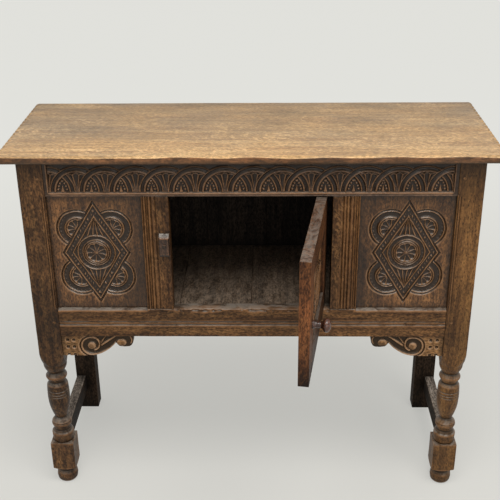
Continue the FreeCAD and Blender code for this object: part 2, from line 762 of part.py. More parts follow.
def make_front_top_rail():
    """Carved top rail: a sunk band with a row of interlaced lunettes."""
    rail = Piece("front_top_rail", (-post_inner, zero, rail_low))
    rail.block("rail", (-post_inner, zero, rail_low),
               (post_inner, named.front_rail_thickness, named.top_underside))
    for side_name, side in SIDES:
        rail.block(side_name + "_tenon", *box(side, post_inner, post_inner + named.post_tenon_length,
                   named.tenon_setback, tenon_back, rail_low + named.tenon_shoulder,
                   named.top_underside - named.tenon_shoulder))
        rail.slot(side_name + "_panel_groove", *box(side, muntin_outer - named.groove_depth,
                  post_inner, named.groove_setback, groove_back, rail_low - named.overrun,
                  rail_low + named.groove_depth))
        rail.slot(side_name + "_muntin_mortise", *muntin_tenon(side, rail_low - named.overrun,
                  rail_low + named.muntin_tenon_length))
    middle = (rail_low + named.top_underside) / 2
    pegs = [((post_inner + named.peg_from_shoulder) * side, middle) for name, side in SIDES]
    rail.peg_holes("peg_holes", "XZ_Plane", zero, pegs, named.front_rail_thickness)
    band = post_inner - named.carved_band_margin
    rail.pocket("sunk_band", "XZ_Plane", -named.overrun,
                [(-band, band_low), (band, band_low),
                 (band, band_high), (-band, band_high)],
                named.carving_depth)
    carve_lunettes(rail, band)
    rail.holes("pivot_hole", "XY_Plane", rail_low - named.overrun, [(pivot_across, pivot_deep)],
               named.pivot_radius + named.pivot_play,
               rail_low + named.pivot_depth - named.door_gap + named.pivot_end_play)
    return rail


def carve_lunettes(rail, band):
    """Interlaced lunettes: whole steps in a row, and half a lunette at the right end."""
    pitch = lunette_pitch()
    first = pitch * LUNETTE_OUTER_SHARE - band
    sketch = rail.sketch("lunette_outline", "XZ_Plane", named.carving_depth)
    for share, start, end, cuts in ARCH_SHARES:
        rail.draw(sketch, "XZ_Plane", arch(first, pitch * share, start, end, cuts))
    lunette = rail.grow("lunette", "XZ_Plane", sketch, named.carving_depth, zero)
    row = rail.body.newObject("PartDesign::LinearPattern", "lunettes")
    row.Originals = [lunette]
    row.Direction = (sketch, ["H_Axis"])
    row.setExpression("Length", (pitch * (LUNETTES - 2)).text)
    row.Occurrences = LUNETTES - 1
    rail.body.Tip = row
    sketch = rail.sketch("last_lunette_outline", "XZ_Plane", named.carving_depth)
    for share, start, end, cuts in LAST_ARCH_SHARES:
        rail.draw(sketch, "XZ_Plane", arch(band, pitch * share, start, end, cuts))
    rail.grow("last_lunette", "XZ_Plane", sketch, named.carving_depth, zero)


def arch(centre, radius, start, end, cuts):
    """Outline of a narrow ridge along part of a circle."""
    foot = (centre, band_low)
    outside = round_cut(foot, radius, start, end, cuts)
    inside = round_cut(foot, radius - named.lunette_ridge, start, end, cuts)
    return outside + inside[::-1]


def muntin_tenon(side, low, high):
    """The muntin's tenon, clear of the door jamb and of the panel groove."""
    return box(side, jamb + named.tenon_shoulder, muntin_outer - named.groove_depth,
               named.tenon_setback, tenon_back, low, high)


def make_front_bottom_rail():
    """Bottom rail: bevelled sill, two scratched grooves, mortised for the muntins."""
    rail = Piece("front_bottom_rail", (-post_inner, zero, bottom_rail_low))
    rail.block("rail", (-post_inner, zero, bottom_rail_low),
               (post_inner, named.front_rail_thickness, named.sill_height))
    for side_name, side in SIDES:
        rail.block(side_name + "_tenon", *box(side, post_inner, post_inner + named.post_tenon_length,
                   named.tenon_setback, tenon_back, bottom_rail_low + named.tenon_shoulder,
                   named.sill_height - named.tenon_shoulder))
        rail.slot(side_name + "_panel_groove", *box(side, muntin_outer - named.groove_depth,
                  post_inner, named.groove_setback, groove_back,
                  named.sill_height - named.groove_depth, named.sill_height + named.overrun))
        rail.slot(side_name + "_muntin_mortise", *muntin_tenon(side,
                  named.sill_height - named.muntin_tenon_length, named.sill_height + named.overrun))
        left, right = across(side, muntin_outer, post_inner)
        bevel(rail, side_name + "_sill_bevel", left, right)
    middle = (bottom_rail_low + named.sill_height) / 2
    pegs = [((post_inner + named.peg_from_shoulder) * side, middle) for name, side in SIDES]
    rail.peg_holes("peg_holes", "XZ_Plane", zero, pegs, named.front_rail_thickness)
    upper = named.sill_height - named.rail_scratch_drop
    for name, height in (("upper", upper), ("lower", upper - named.rail_scratch_spacing)):
        rail.pocket(name + "_scratch", "YZ_Plane", -post_inner,
                    scratch(zero, height), post_inner)
    rail.holes("pivot_hole", "XY_Plane", named.sill_height + named.overrun,
               [(pivot_across, pivot_deep)], named.pivot_radius + named.pivot_play,
               named.sill_height - named.pivot_depth + named.door_gap - named.pivot_end_play)
    return rail


def bevel(rail, name, left, right):
    """A bevel along the sill's upper front arris, below a panel."""
    edge = named.sill_height
    rail.pocket(name, "YZ_Plane", left,
                [(-named.overrun, edge - named.sill_bevel - named.overrun),
                 (named.sill_bevel + named.overrun, edge + named.overrun),
                 (-named.overrun, edge + named.overrun)], right)


def scratch(face, height):
    """Section of a groove scratched into a face, across deep and high."""
    half = named.scratch_width / 2
    return [(face - named.overrun, height - half), (face, height - half, -named.scratch_depth / 4),
            (face + named.scratch_depth, height), (face, height + half),
            (face - named.overrun, height + half)]


def make_muntin(side_name, side):
    """Upright between the rails: plain beside the door, scratched beside the panel."""
    muntin = Piece("%s_muntin" % side_name, (jamb * side, zero, named.sill_height))
    muntin.block("upright", *box(side, jamb, muntin_outer, zero, named.front_rail_thickness,
                                 named.sill_height, rail_low))
    for name, low, high in (("upper", rail_low, rail_low + named.muntin_tenon_length),
                            ("lower", named.sill_height - named.muntin_tenon_length,
                             named.sill_height)):
        muntin.block(name + "_tenon", *muntin_tenon(side, low, high))
    muntin.slot("panel_groove", *box(side, muntin_outer - named.groove_depth,
                muntin_outer + named.overrun, named.groove_setback, groove_back,
                named.sill_height, rail_low))
    for name, inset in (("outer", named.muntin_scratch_outer), ("inner", named.muntin_scratch_inner)):
        middle = (muntin_outer - inset) * side
        half = named.scratch_width / 2
        muntin.pocket(name + "_scratch", "XY_Plane", rail_low,
                      [(middle - half, -named.overrun), (middle + half, -named.overrun),
                       (middle + half, zero), (middle, named.scratch_depth),
                       (middle - half, zero)], named.sill_height)
    if side < 0:
        muntin.holes("button_nail_hole", "XZ_Plane", zero, [button_place()], named.nail_radius,
                     named.nail_bite)
    return muntin


def button_place():
    """Where the turn button's nail goes: across and high."""
    return (-jamb - named.button_from_jamb, named.sill_height + named.button_rise)


def make_front_panel(side_name, side):
    """Carved front panel: a field that stands in the opening, thin edges in the
    grooves, and a lozenge with roundels cut into its face."""
    low, high = named.sill_height, rail_low
    centre = ((muntin_outer + post_inner) / 2 * side, (low + high) / 2)
    panel = Piece("%s_front_panel" % side_name, (centre[0], zero, centre[1]))
    reach = named.groove_depth - named.tongue_play
    panel.block("edges", *box(side, muntin_outer - reach, post_inner + reach,
                named.groove_setback, groove_back, low - reach, high + reach))
    play = named.panel_play
    panel.block("field", *box(side, muntin_outer + play, post_inner - play,
                named.panel_setback, named.panel_setback + named.panel_thickness,
                low + play, high - play))
    carve_panel(panel, centre, post_inner - muntin_outer, high - low, named.panel_setback)
    return panel


def carve_panel(panel, centre, width, height, face):
    """Cut a lozenge's border, the rings of its roundel and four corner roundels."""
    outer, inner = [lozenge(centre, width * share[0], height * share[1])
                    for share in LOZENGE_SHARES]
    incise(panel, "lozenge_border", face, [outer, inner])
    rings = [round_cut(centre, width * share, 0, 345, 23) for share in ROUNDEL_SHARES]
    incise(panel, "roundel_ring", face, rings[:2])
    incise(panel, "rosette_ring", face, rings[2:])
    corners = []
    start = CORNER_ROUNDEL_FACING - CORNER_ROUNDEL_TURN
    end = CORNER_ROUNDEL_FACING + CORNER_ROUNDEL_TURN
    for right in (-1, 1):
        for up in (-1, 1):
            middle = (centre[0] + width * CORNER_ROUNDEL_SHARES[0] * right,
                      centre[1] + height * CORNER_ROUNDEL_SHARES[1] * up)
            corners.append(round_cut(middle, width * CORNER_ROUNDEL_RADIUS_SHARE,
                                     start, end, 8, right, up))
    incise(panel, "corner_roundels", face, corners)


def round_cut(centre, radius, start, end, cuts, right=1, up=1):
    """Points along part of a circle, one at the end of each straight chisel cut."""
    points = []
    for cut in range(cuts + 1):
        turn = math.radians(start + (end - start) * cut / cuts)
        points.append((centre[0] + radius * round(math.cos(turn) * right, 6),
                       centre[1] + radius * round(math.sin(turn) * up, 6)))
    return points


def lozenge(centre, half_width, half_height):
    return [(centre[0] - half_width, centre[1]), (centre[0], centre[1] - half_height),
            (centre[0] + half_width, centre[1]), (centre[0], centre[1] + half_height)]


def incise(panel, name, face, outlines):
    """Cut inside an outline, or between two, as deep as the carving goes."""
    sketch = panel.sketch(name + "_outline", "XZ_Plane", face)
    for outline in outlines:
        panel.draw(sketch, "XZ_Plane", outline)
    return panel.sink(name, "XZ_Plane", sketch, face, face + named.incision)


def make_side_rail(label, side, low, high, groove_low, groove_high):
    """Rail or stretcher from the front leg to the rear leg, with a tenon each end."""
    rail = Piece(label, (side_outer * side, named.post_side, low))
    rail.block("rail", *box(side, side_inner, side_outer, named.post_side, rear_front, low, high))
    for name, near, far in (("front", named.post_side - named.side_tenon_length, named.post_side),
                            ("rear", rear_front, rear_front + named.side_tenon_length)):
        rail.block(name + "_tenon", *box(side, side_tenon_inner, side_tenon_outer, near, far,
                   low + named.tenon_shoulder, high - named.tenon_shoulder))
    if groove_low is not None:
        rail.slot("panel_groove", *box(side, side_groove_inner, side_groove_outer,
                  named.post_side, rear_front, groove_low, groove_high))
    middle = (low + high) / 2
    bore_side_pegs(rail, side, [(named.post_side - named.peg_from_shoulder, middle),
                                (rear_front + named.peg_from_shoulder, middle)])
    return rail


def make_side(side_name, side):
    """One side of the case: two rails, a plain panel and a low stretcher."""
    make_side_rail("%s_side_top_rail" % side_name, side, rail_low, named.top_underside,
                   rail_low - named.overrun, rail_low + named.groove_depth)
    make_side_rail("%s_side_bottom_rail" % side_name, side, bottom_rail_low, named.sill_height,
                   named.sill_height - named.groove_depth, named.sill_height + named.overrun)
    make_side_rail("%s_stretcher" % side_name, side, stretcher_low, stretcher_high,
                   None, None)
    panel = Piece("%s_side_panel" % side_name, (side_outer * side, named.post_side,
                                               named.sill_height))
    reach = named.groove_depth - named.tongue_play
    panel.block("edges", *box(side, side_groove_inner, side_groove_outer,
                named.post_side - reach, rear_front + reach,
                named.sill_height - reach, rail_low + reach))
    play = named.panel_play
    outer = side_outer - named.side_panel_setback
    panel.block("field", *box(side, outer - named.side_panel_thickness, outer,
                named.post_side + play, rear_front - play,
                named.sill_height + play, rail_low - play))


def make_rear_rail(label, low, high):
    """Rail between the rear legs, flush with their front faces."""
    rail = Piece(label, (-rear_inner, rear_front, low))
    rail.block("rail", (-rear_inner, rear_front, low), (rear_inner, back_plane, high))
    for side_name, side in SIDES:
        rail.block(side_name + "_tenon", *box(side, rear_inner, rear_inner + named.rear_tenon_length,
                   rear_tenon_front, rear_tenon_back, low + named.tenon_shoulder,
                   high - named.tenon_shoulder))
    middle = (low + high) / 2
    pegs = [((rear_inner + named.peg_from_shoulder) * side, middle) for name, side in SIDES]
    rail.peg_holes("peg_holes", "XZ_Plane", back_plane, pegs, rear_front)
    nails = [(across_, high_) for across_, high_ in back_nail_places() if
             low.value < high_.value < high.value]
    rail.nail_holes("nail_holes", "XZ_Plane", back_plane, nails,
                    back_plane - named.board_nail_bite)
    return rail


def back_nail_places():
    """A nail at each end of each back board, off its middle: across and high."""
    upper = (rear_top_rail_low + named.top_underside) / 2
    lower = (bottom_rail_low + floor_low) / 2
    places = []
    for index in range(len(BACK_JOINT_SHARES) - 1):
        left, right = board_edges(BACK_JOINT_SHARES, rear_inner, index)
        places.append((left + (right - left) * 0.4, upper))
        places.append((left + (right - left) * 0.6, lower))
    return places


def board_edges(shares, half_width, index):
    """Left and right edge of a board, with half a shrinkage gap at each joint."""
    gap = named.board_gap / 2
    left = half_width * (2 * shares[index] - 1)
    right = half_width * (2 * shares[index + 1] - 1)
    left = left + gap if index > 0 else left
    right = right - gap if index < len(shares) - 2 else right
    return left, right


def make_back_boards():
    """Upright boards nailed to the back of the rear rails, between the legs. Each has
    a lip that lies in the next one's rebate, so that no light shows as they shrink."""
    for index in range(len(BACK_JOINT_SHARES) - 1):
        left, right = board_edges(BACK_JOINT_SHARES, rear_inner, index)
        board = Piece("back_board_%d" % (index + 1), (left, back_plane, back_board_low))
        rear = back_plane + named.back_board_thickness
        board.block("board", (left, back_plane, back_board_low), (right, rear, back_board_high))
        middle = back_plane + named.back_board_thickness / 2
        if index > 0:
            board.slot("left_rebate", (left - named.overrun, back_plane, back_board_low),
                       (left + named.board_lap, middle, back_board_high))
        if index < len(BACK_JOINT_SHARES) - 2:
            reach = right + named.board_lap - named.board_gap
            board.block("right_lap", (right, back_plane, back_board_low),
                        (reach, middle - named.lap_play, back_board_high))
        nails = [spot for spot in back_nail_places()
                 if left.value < spot[0].value < right.value]
        board.nail_holes("nail_holes", "XZ_Plane", back_plane + named.back_board_thickness,
                         nails, back_plane)


def make_floor():
    """Floor boards from front to back, lapped like the back boards and notched round
    the legs at the ends, and the ledger that carries their front ends."""
    count = len(FLOOR_JOINT_SHARES) - 1
    front = named.front_rail_thickness
    for index in range(count):
        left, right = board_edges(FLOOR_JOINT_SHARES, side_inner, index)
        board = Piece("floor_board_%d" % (index + 1), (left, front, floor_low))
        board.block("board", (left, front, floor_low), (right, back_plane, floor_top))
        middle = floor_low + named.floor_thickness / 2
        if index > 0:
            board.slot("left_rebate", (left - named.overrun, front, floor_low),
                       (left + named.board_lap, back_plane, middle))
        if index < count - 1:
            reach = right + named.board_lap - named.board_gap
            board.block("right_lap", (right, front, floor_low),
                        (reach, back_plane, middle - named.lap_play))
        if index in (0, count - 1):
            side = -1 if index == 0 else 1
            board.slot("post_notch", *box(side, post_inner, side_inner + named.overrun,
                       front - named.overrun, named.post_side, floor_low, floor_top))
            board.slot("rear_leg_notch", *box(side, rear_inner, side_inner + named.overrun,
                       rear_front, back_plane + named.overrun, floor_low, floor_top))
    ledger = Piece("floor_ledger", (-post_inner, front, floor_low - named.ledger_side))
    ledger.block("ledger", (-post_inner, front, floor_low - named.ledger_side),
                 (post_inner, front + named.ledger_side, floor_low))


def make_bracket(side_name, side):
    """Shaped bracket under the bottom rail: a squared block beside the post, a large
    scroll, a stem and a small scroll at the end."""
    corner = (post_inner * side, named.bracket_setback, bottom_rail_low)
    bracket = Piece("%s_bracket" % side_name, corner)
    points = []
    for along, down, swell in BRACKET_SHARES:
        points.append(((post_inner - named.bracket_length * along) * side,
                       bottom_rail_low - named.bracket_drop * down,
                       named.bracket_drop * swell * (-side)))
    back = named.bracket_setback + named.bracket_thickness
    bracket.pad("bracket", "XZ_Plane", named.bracket_setback, points, back)
    return bracket


class DoorPiece(Piece):
    """A piece of the door, drawn shut, and turned open about the pivot line.

    Across is measured from the pivot line, deep from the middle of the door's
    thickness."""

    def __init__(self, label):
        super().__init__(label, (pivot_across, pivot_deep, zero), named.door_open_angle)
        self.corner = [zero, zero, zero]


door_face = -named.door_thickness / 2
door_back = named.door_thickness / 2
hinge_edge = named.pivot_setback
sight_left = door_free + named.door_stile_width
sight_right = hinge_edge - named.door_stile_width
sight_low = door_low + named.door_rail_height
sight_high = door_high - named.door_rail_height
door_tenon_back = door_face + named.door_groove_setback + named.door_tenon_thickness
door_tenon_front = door_face + named.door_groove_setback
door_groove_back = door_tenon_front + named.door_tongue_thickness


def door_tenons():
    """Each door tenon: whether it is left, and its low and high edge."""
    low = (door_low + named.door_tenon_shoulder, sight_low - named.groove_depth)
    high = (sight_high + named.groove_depth, door_high - named.door_tenon_shoulder)
    return (("bottom", low), ("top", high))


def door_peg_places(edge, away):
    """The pegs that lock the door's rails into one stile."""
    places = []
    for name, (low, high) in door_tenons():
        places.append((edge + named.peg_from_shoulder * away, (low + high) / 2))
    return places


def make_door_stile(label, left, right, inner, away):
    """A door stile: mortised for two rails, grooved for the panel."""
    stile = DoorPiece(label)
    stile.block("stile", (left, door_face, door_low), (right, door_back, door_high))
    for name, (low, high) in door_tenons():
        near = inner - named.overrun * away
        far = inner + named.door_tenon_length * away
        ends = (near, far) if near.value < far.value else (far, near)
        stile.slot(name + "_rail_mortise", (ends[0], door_tenon_front, low),
                   (ends[1], door_tenon_back, high))
    near = inner - named.overrun * away
    far = inner + named.groove_depth * away
    ends = (near, far) if near.value < far.value else (far, near)
    stile.slot("panel_groove", (ends[0], door_tenon_front, sight_low - named.groove_depth),
               (ends[1], door_groove_back, sight_high + named.groove_depth))
    stile.peg_holes("peg_holes", "XZ_Plane", door_face - named.overrun,
                    door_peg_places(inner, away), door_back + named.overrun)
    middle = inner + named.door_scratch_margin * away
    half = named.scratch_width / 2
    stile.pocket("scratch", "XY_Plane", door_high,
                 [(middle - half, door_face - named.overrun),
                  (middle + half, door_face - named.overrun), (middle + half, door_face),
                  (middle, door_face + named.scratch_depth), (middle - half, door_face)],
                 door_low)
    return stile


def make_door_rail(label, low, high, tenon, groove, peg_name):
    """A door rail with a tenon each end and a panel groove in its inner edge."""
    rail = DoorPiece(label)
    rail.block("rail", (sight_left, door_face, low), (sight_right, door_back, high))
    rail.block("left_tenon", (sight_left - named.door_tenon_length, door_tenon_front, tenon[0]),
               (sight_left, door_tenon_back, tenon[1]))
    rail.block("right_tenon", (sight_right, door_tenon_front, tenon[0]),
               (sight_right + named.door_tenon_length, door_tenon_back, tenon[1]))
    rail.slot("panel_groove", (sight_left, door_tenon_front, groove[0]),
              (sight_right, door_groove_back, groove[1]))
    pegs = [(sight_left - named.peg_from_shoulder, (tenon[0] + tenon[1]) / 2),
            (sight_right + named.peg_from_shoulder, (tenon[0] + tenon[1]) / 2)]
    rail.peg_holes("peg_holes", "XZ_Plane", door_face - named.overrun, pegs,
                   door_back + named.overrun)
    return rail


def make_door():
    """The door: two stiles, two rails, a panel, its pivot pins and its knob."""
    free = make_door_stile("door_free_stile", door_free, sight_left, sight_left, -1)
    knob_across = door_free + named.knob_from_edge
    free.holes("knob_hole", "XZ_Plane", door_face - named.overrun,
               [(knob_across, knob_height)], named.knob_spigot_radius,
               door_back + named.overrun)
    hinge = make_door_stile("door_hinge_stile", sight_right, hinge_edge, sight_right, 1)
    round_ = named.door_arris_round
    hinge.pocket("rounded_arris", "XY_Plane", door_high,
                 [(hinge_edge - round_, door_face - named.overrun),
                  (hinge_edge + named.overrun, door_face - named.overrun),
                  (hinge_edge + named.overrun, door_face + round_),
                  (hinge_edge, door_face + round_, -round_ * (1 - math.sqrt(0.5))),
                  (hinge_edge - round_, door_face)], door_low)
    for name, low, high in (("bottom", door_low - named.overrun, door_low + named.pivot_depth),
                            ("top", door_high + named.overrun, door_high - named.pivot_depth)):
        hinge.holes(name + "_pivot_hole", "XY_Plane", low, [(zero, zero)],
                    named.pivot_radius, high)
    tenons = dict(door_tenons())
    make_door_rail("door_bottom_rail", door_low, sight_low, tenons["bottom"],
                   (sight_low - named.groove_depth, sight_low + named.overrun), "bottom")
    make_door_rail("door_top_rail", sight_high, door_high, tenons["top"],
                   (sight_high - named.overrun, sight_high + named.groove_depth), "top")
    panel = DoorPiece("door_panel")
    reach = named.groove_depth - named.tongue_play
    panel.block("edges", (sight_left - reach, door_tenon_front, sight_low - reach),
                (sight_right + reach, door_groove_back, sight_high + reach))
    play = named.panel_play
    face = door_face + named.door_panel_setback
    panel.block("field", (sight_left + play, face, sight_low + play),
                (sight_right - play, face + named.door_panel_thickness, sight_high - play))
    for name, low, high in (("bottom", door_low - named.pivot_depth + named.door_gap,
                             door_low + named.pivot_depth),
                            ("top", door_high - named.pivot_depth,
                             door_high + named.pivot_depth - named.door_gap)):
        pin = DoorPiece("door_%s_pin" % name)
        sketch = pin.sketch("pin_outline", "XY_Plane", low)
        pin.disc(sketch, "XY_Plane", (zero, zero), named.pivot_radius)
        pin.grow("pin", "XY_Plane", sketch, low, high)
    knob = DoorPiece("door_knob")
    knob.corner = [knob_across, zero, knob_height]
    turn_knob(knob, knob_across)


def turn_knob(knob, knob_across):
    """The turned knob: a spigot through the stile, a neck and a round head."""
    knob.corner = [zero, zero, zero]
    sketch = knob.sketch("knob_profile", "YZ_Plane", knob_across)
    height = knob_height
    points = [(door_back, height), (door_back, height + named.knob_spigot_radius),
              (door_face, height + named.knob_spigot_radius)]
    for along, share in KNOB_SHARES:
        points.append((door_face - named.knob_projection * along,
                       height + named.knob_radius * share))
    points.append((door_face - named.knob_projection, height))
    knob.draw(sketch, "YZ_Plane", points)
    axis = sketch.addGeometry(Part.LineSegment(
        Vector(door_back.value, height.value, 0), Vector(door_face.value, height.value, 0)), True)
    tie(sketch, pin_point(axis, 1, (door_back, height)) + pin_point(axis, 2, (door_face, height)))
    turned = knob.body.newObject("PartDesign::Revolution", "turned_knob")
    turned.Profile = sketch
    turned.ReferenceAxis = (sketch, ["Axis0"])
    turned.Angle = 360
    sketch.Visibility = False


def make_door_stop():
    """Triangular stop in the upper corner of the opening, behind the shut door."""
    deep = named.door_thickness + named.stop_play
    stop = Piece("door_stop", (-jamb, deep, rail_low))
    stop.pad("stop", "XZ_Plane", deep,
             [(-jamb, rail_low), (-jamb, rail_low - named.stop_leg),
              (named.stop_leg - jamb, rail_low)], deep + named.stop_thickness)


def make_turn_button():
    """Wooden turn button on the left muntin, bevelled at both ends, on one nail."""
    centre = button_place()
    back = -named.button_play
    front = back - named.button_thickness
    half = named.button_width / 2
    tall = named.button_length / 2
    button = Piece("turn_button", (centre[0], back, centre[1]))
    sunk = named.button_bevel
    sketch = button.sketch("button_outline", "YZ_Plane", centre[0] - half)
    button.draw(sketch, "YZ_Plane",
                [(back, centre[1] - tall), (back, centre[1] + tall),
                 (front + sunk, centre[1] + tall), (front, centre[1] + tall - sunk * 2),
                 (front, centre[1] - tall + sunk * 2), (front + sunk, centre[1] - tall)])
    button.grow("button", "YZ_Plane", sketch, centre[0] - half, centre[0] + half)
    button.holes("nail_hole", "XZ_Plane", front - named.overrun, [centre],
                 named.nail_radius + named.pivot_play, back + named.overrun)
    nail = Piece("turn_button_nail", (centre[0], front, centre[1]))
    turn_nail(nail, centre, front, back + named.button_play + named.nail_bite)


def turn_nail(nail, centre, face, tip):
    """The forged nail: a round shank and a square head, hammered off at its edges."""
    under = face - named.button_play
    top = under - named.nail_head_rise
    half = named.nail_head_radius
    sketch = nail.sketch("shank_outline", "XZ_Plane", tip)
    nail.disc(sketch, "XZ_Plane", centre, named.nail_radius)
    nail.grow("shank", "XZ_Plane", sketch, tip, under)
    nail.block("head", (centre[0] - half, top, centre[1] - half),
               (centre[0] + half, under, centre[1] + half))
    doc.recompute()
    shape = nail.body.Shape
    front = shape.BoundBox.YMin + named.nail_head_rise.value / 2
    edges = ["Edge%d" % number for number, edge in enumerate(shape.Edges, 1)
             if edge.BoundBox.YMax < front]
    nail.dress("Chamfer", "hammered_edges", edges, named.nail_head_rise / 2)


def make_peg_group(label, pegs, turned_by=None):
    """A group of separate pegs. Each peg is (across, deep, high, direction, length)."""
    group = doc.addObject("Part::Compound", label)
    group.Label = label
    links = []
    for number, (across_, deep, high, direction, length) in enumerate(pegs, 1):
        peg = doc.addObject("Part::Prism", "%s_%d" % (label, number))
        peg.Polygon = len(PEG_SHARES)
        peg.setExpression("Circumradius", named.peg_radius.text)
        peg.setExpression("Height", length.text)
        spin = FreeCAD.Rotation(Vector(0, 0, 1), Vector(*direction))
        peg.Placement = FreeCAD.Placement(Vector(0, 0, 0), spin)
        put(peg, across_, deep, high)
        links.append(peg)
    group.Links = links
    if turned_by is None:
        group.setExpression("Placement.Base.y", front_plane.text)
    else:
        spin = FreeCAD.Rotation(Vector(0, 0, 1), turned_by.value)
        group.Placement = FreeCAD.Placement(Vector(0, 0, 0), spin)
        group.setExpression("Placement.Rotation.Angle", turned_by.text)
        group.setExpression("Placement.Base.x", pivot_across.text)
        group.setExpression("Placement.Base.y", (pivot_deep + front_plane).text)
    pieces.append(group)


def make_pegs():
    """Oak pegs, driven from outside: front frame and door."""
    front = []
    for side_name, side in SIDES:
        for across_, high in front_peg_places(side):
            front.append((across_, -named.peg_proud, high, (0, 1, 0),
                          named.peg_length + named.peg_proud))
    make_peg_group("front_frame_pegs", front)
    sides = []
    for side_name, side in SIDES:
        outer = (half_case + named.peg_proud) * side
        for deep, high in side_peg_places()[0] + side_peg_places()[1]:
            sides.append((outer, deep, high, (-side, 0, 0), named.side_peg_length + named.peg_proud))
    make_peg_group("side_frame_pegs", sides)
    rear = []
    for side_name, side in SIDES:
        for across_, high in rear_peg_places(side):
            rear.append((across_, case_depth + named.peg_proud, high, (0, -1, 0),
                         named.peg_length + named.peg_proud))
    make_peg_group("rear_frame_pegs", rear)
    door = []
    for edge, away in ((sight_left, -1), (sight_right, 1)):
        for across_, high in door_peg_places(edge, away):
            door.append((across_, door_face, high, (0, 1, 0), named.door_thickness))
    make_peg_group("door_pegs", door, named.door_open_angle)


def make_back_nails():
    """Forged nails that hold the back boards: a square shank and a low head each."""
    group = doc.addObject("Part::Compound", "back_board_nails")
    group.Label = "back_board_nails"
    face = back_plane + named.back_board_thickness
    half = named.board_nail_side / 2
    reach = named.back_board_thickness + named.board_nail_bite
    links = []
    for number, (across_, high) in enumerate(back_nail_places(), 1):
        shank = doc.addObject("Part::Box", "back_nail_shank_%d" % number)
        shank.setExpression("Length", named.board_nail_side.text)
        shank.setExpression("Width", reach.text)
        shank.setExpression("Height", named.board_nail_side.text)
        put(shank, across_ - half, face - reach, high - half)
        whole = doc.addObject("Part::Fuse", "back_nail_%d" % number)
        whole.Base = shank
        whole.Tool = nail_head("back_nail_head_%d" % number, across_, face, high)
        links.append(whole)
    group.Links = links
    group.setExpression("Placement.Base.y", front_plane.text)
    pieces.append(group)


def nail_head(label, across_, face, high):
    """A four-faced head, hammered down to a small flat top."""
    head = doc.addObject("Part::Wedge", label)
    half = named.board_nail_head_side / 2
    top = half / 3
    sides = {"Xmin": -half, "Xmax": half, "Zmin": -half, "Zmax": half, "Ymin": zero,
             "Ymax": named.board_nail_head_rise,
             "X2min": -top, "X2max": top, "Z2min": -top, "Z2max": top}
    for side, value in sides.items():
        head.setExpression(side, value.text)
    put(head, across_, face, high)
    return head


def put(thing, across_, deep, high):
    """Place a primitive in the case."""
    thing.setExpression("Placement.Base.x", across_.text)
    thing.setExpression("Placement.Base.y", deep.text)
    thing.setExpression("Placement.Base.z", high.text)


def check_and_write():
    """Look at every object's state, then write each piece to its own file."""
    doc.recompute()
    for item in doc.Objects:
        if "Invalid" in item.State or "Error" in item.State:
            raise RuntimeError("%s failed: %s" % (item.Name, item.State))
    os.makedirs("parts", exist_ok=True)
    for piece in pieces:
        shape = piece.Shape
        if shape.isNull() or not shape.isValid():
            raise RuntimeError("%s has no valid shape" % piece.Label)
        shape.exportStep("parts/%s.step" % piece.Label)
    print("pieces written:", len(pieces))


make_top_board()
for side_name, side in SIDES:
    make_front_leg(side_name, side)
    make_rear_leg(side_name, side)
    make_muntin(side_name, side)
    make_front_panel(side_name, side)
    make_side(side_name, side)
    make_bracket(side_name, side)
make_front_top_rail()
make_front_bottom_rail()
make_rear_rail("rear_top_rail", rear_top_rail_low, named.top_underside)
make_rear_rail("rear_bottom_rail", bottom_rail_low, floor_low)
make_back_boards()
make_floor()
make_door()
make_door_stop()
make_turn_button()
make_pegs()
make_back_nails()
check_and_write()
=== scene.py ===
# %% [markdown]
# # A joined oak cupboard, dressed for its portrait
# The cupboard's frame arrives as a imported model: every board, rail and peg is already
# in its place, in metres, with the floor at height zero and the front towards -Y.
# Here each part gets its wood, its carving and its wear, and the whole is lit and seen
# from where the photograph was taken. The real one is oak, framed with pegged mortise
# and tenon joints, so the looks follow the way it was made, one member at a time.

import json
import math

import bpy
import numpy as np
from mathutils import Matrix, Vector


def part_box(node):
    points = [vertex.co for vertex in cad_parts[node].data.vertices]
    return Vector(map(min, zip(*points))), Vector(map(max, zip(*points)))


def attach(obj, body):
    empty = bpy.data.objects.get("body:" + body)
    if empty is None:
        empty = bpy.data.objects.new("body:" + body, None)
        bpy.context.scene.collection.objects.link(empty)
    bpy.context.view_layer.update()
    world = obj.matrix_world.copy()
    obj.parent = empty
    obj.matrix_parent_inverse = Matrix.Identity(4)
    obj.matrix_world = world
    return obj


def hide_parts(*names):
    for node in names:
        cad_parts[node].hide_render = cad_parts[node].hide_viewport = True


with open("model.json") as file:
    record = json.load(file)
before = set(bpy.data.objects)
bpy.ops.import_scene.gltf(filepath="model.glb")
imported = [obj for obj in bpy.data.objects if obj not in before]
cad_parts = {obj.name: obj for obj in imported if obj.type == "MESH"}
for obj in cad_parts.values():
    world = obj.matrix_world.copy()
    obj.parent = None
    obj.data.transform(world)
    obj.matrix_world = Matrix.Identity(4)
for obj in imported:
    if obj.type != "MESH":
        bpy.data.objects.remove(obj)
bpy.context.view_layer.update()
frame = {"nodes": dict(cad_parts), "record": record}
NODES = frame["nodes"]
MM = 0.001
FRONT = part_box("front_left_leg")[0].y / MM
print("parts in the frame:", len(NODES), "- front of the posts at y =", round(FRONT, 2), "mm")

# %% [markdown]
# ## Where the photographer stood
# The photograph looks down at the cupboard from about 1.5 m up and 1.8 m away. The
# place and the turn of the camera were worked out from the corners of the case and the
# top. A camera can be turned with three angles, but giving it its three axes keeps the
# small roll of a hand-held photograph apart from its turn and its tilt.

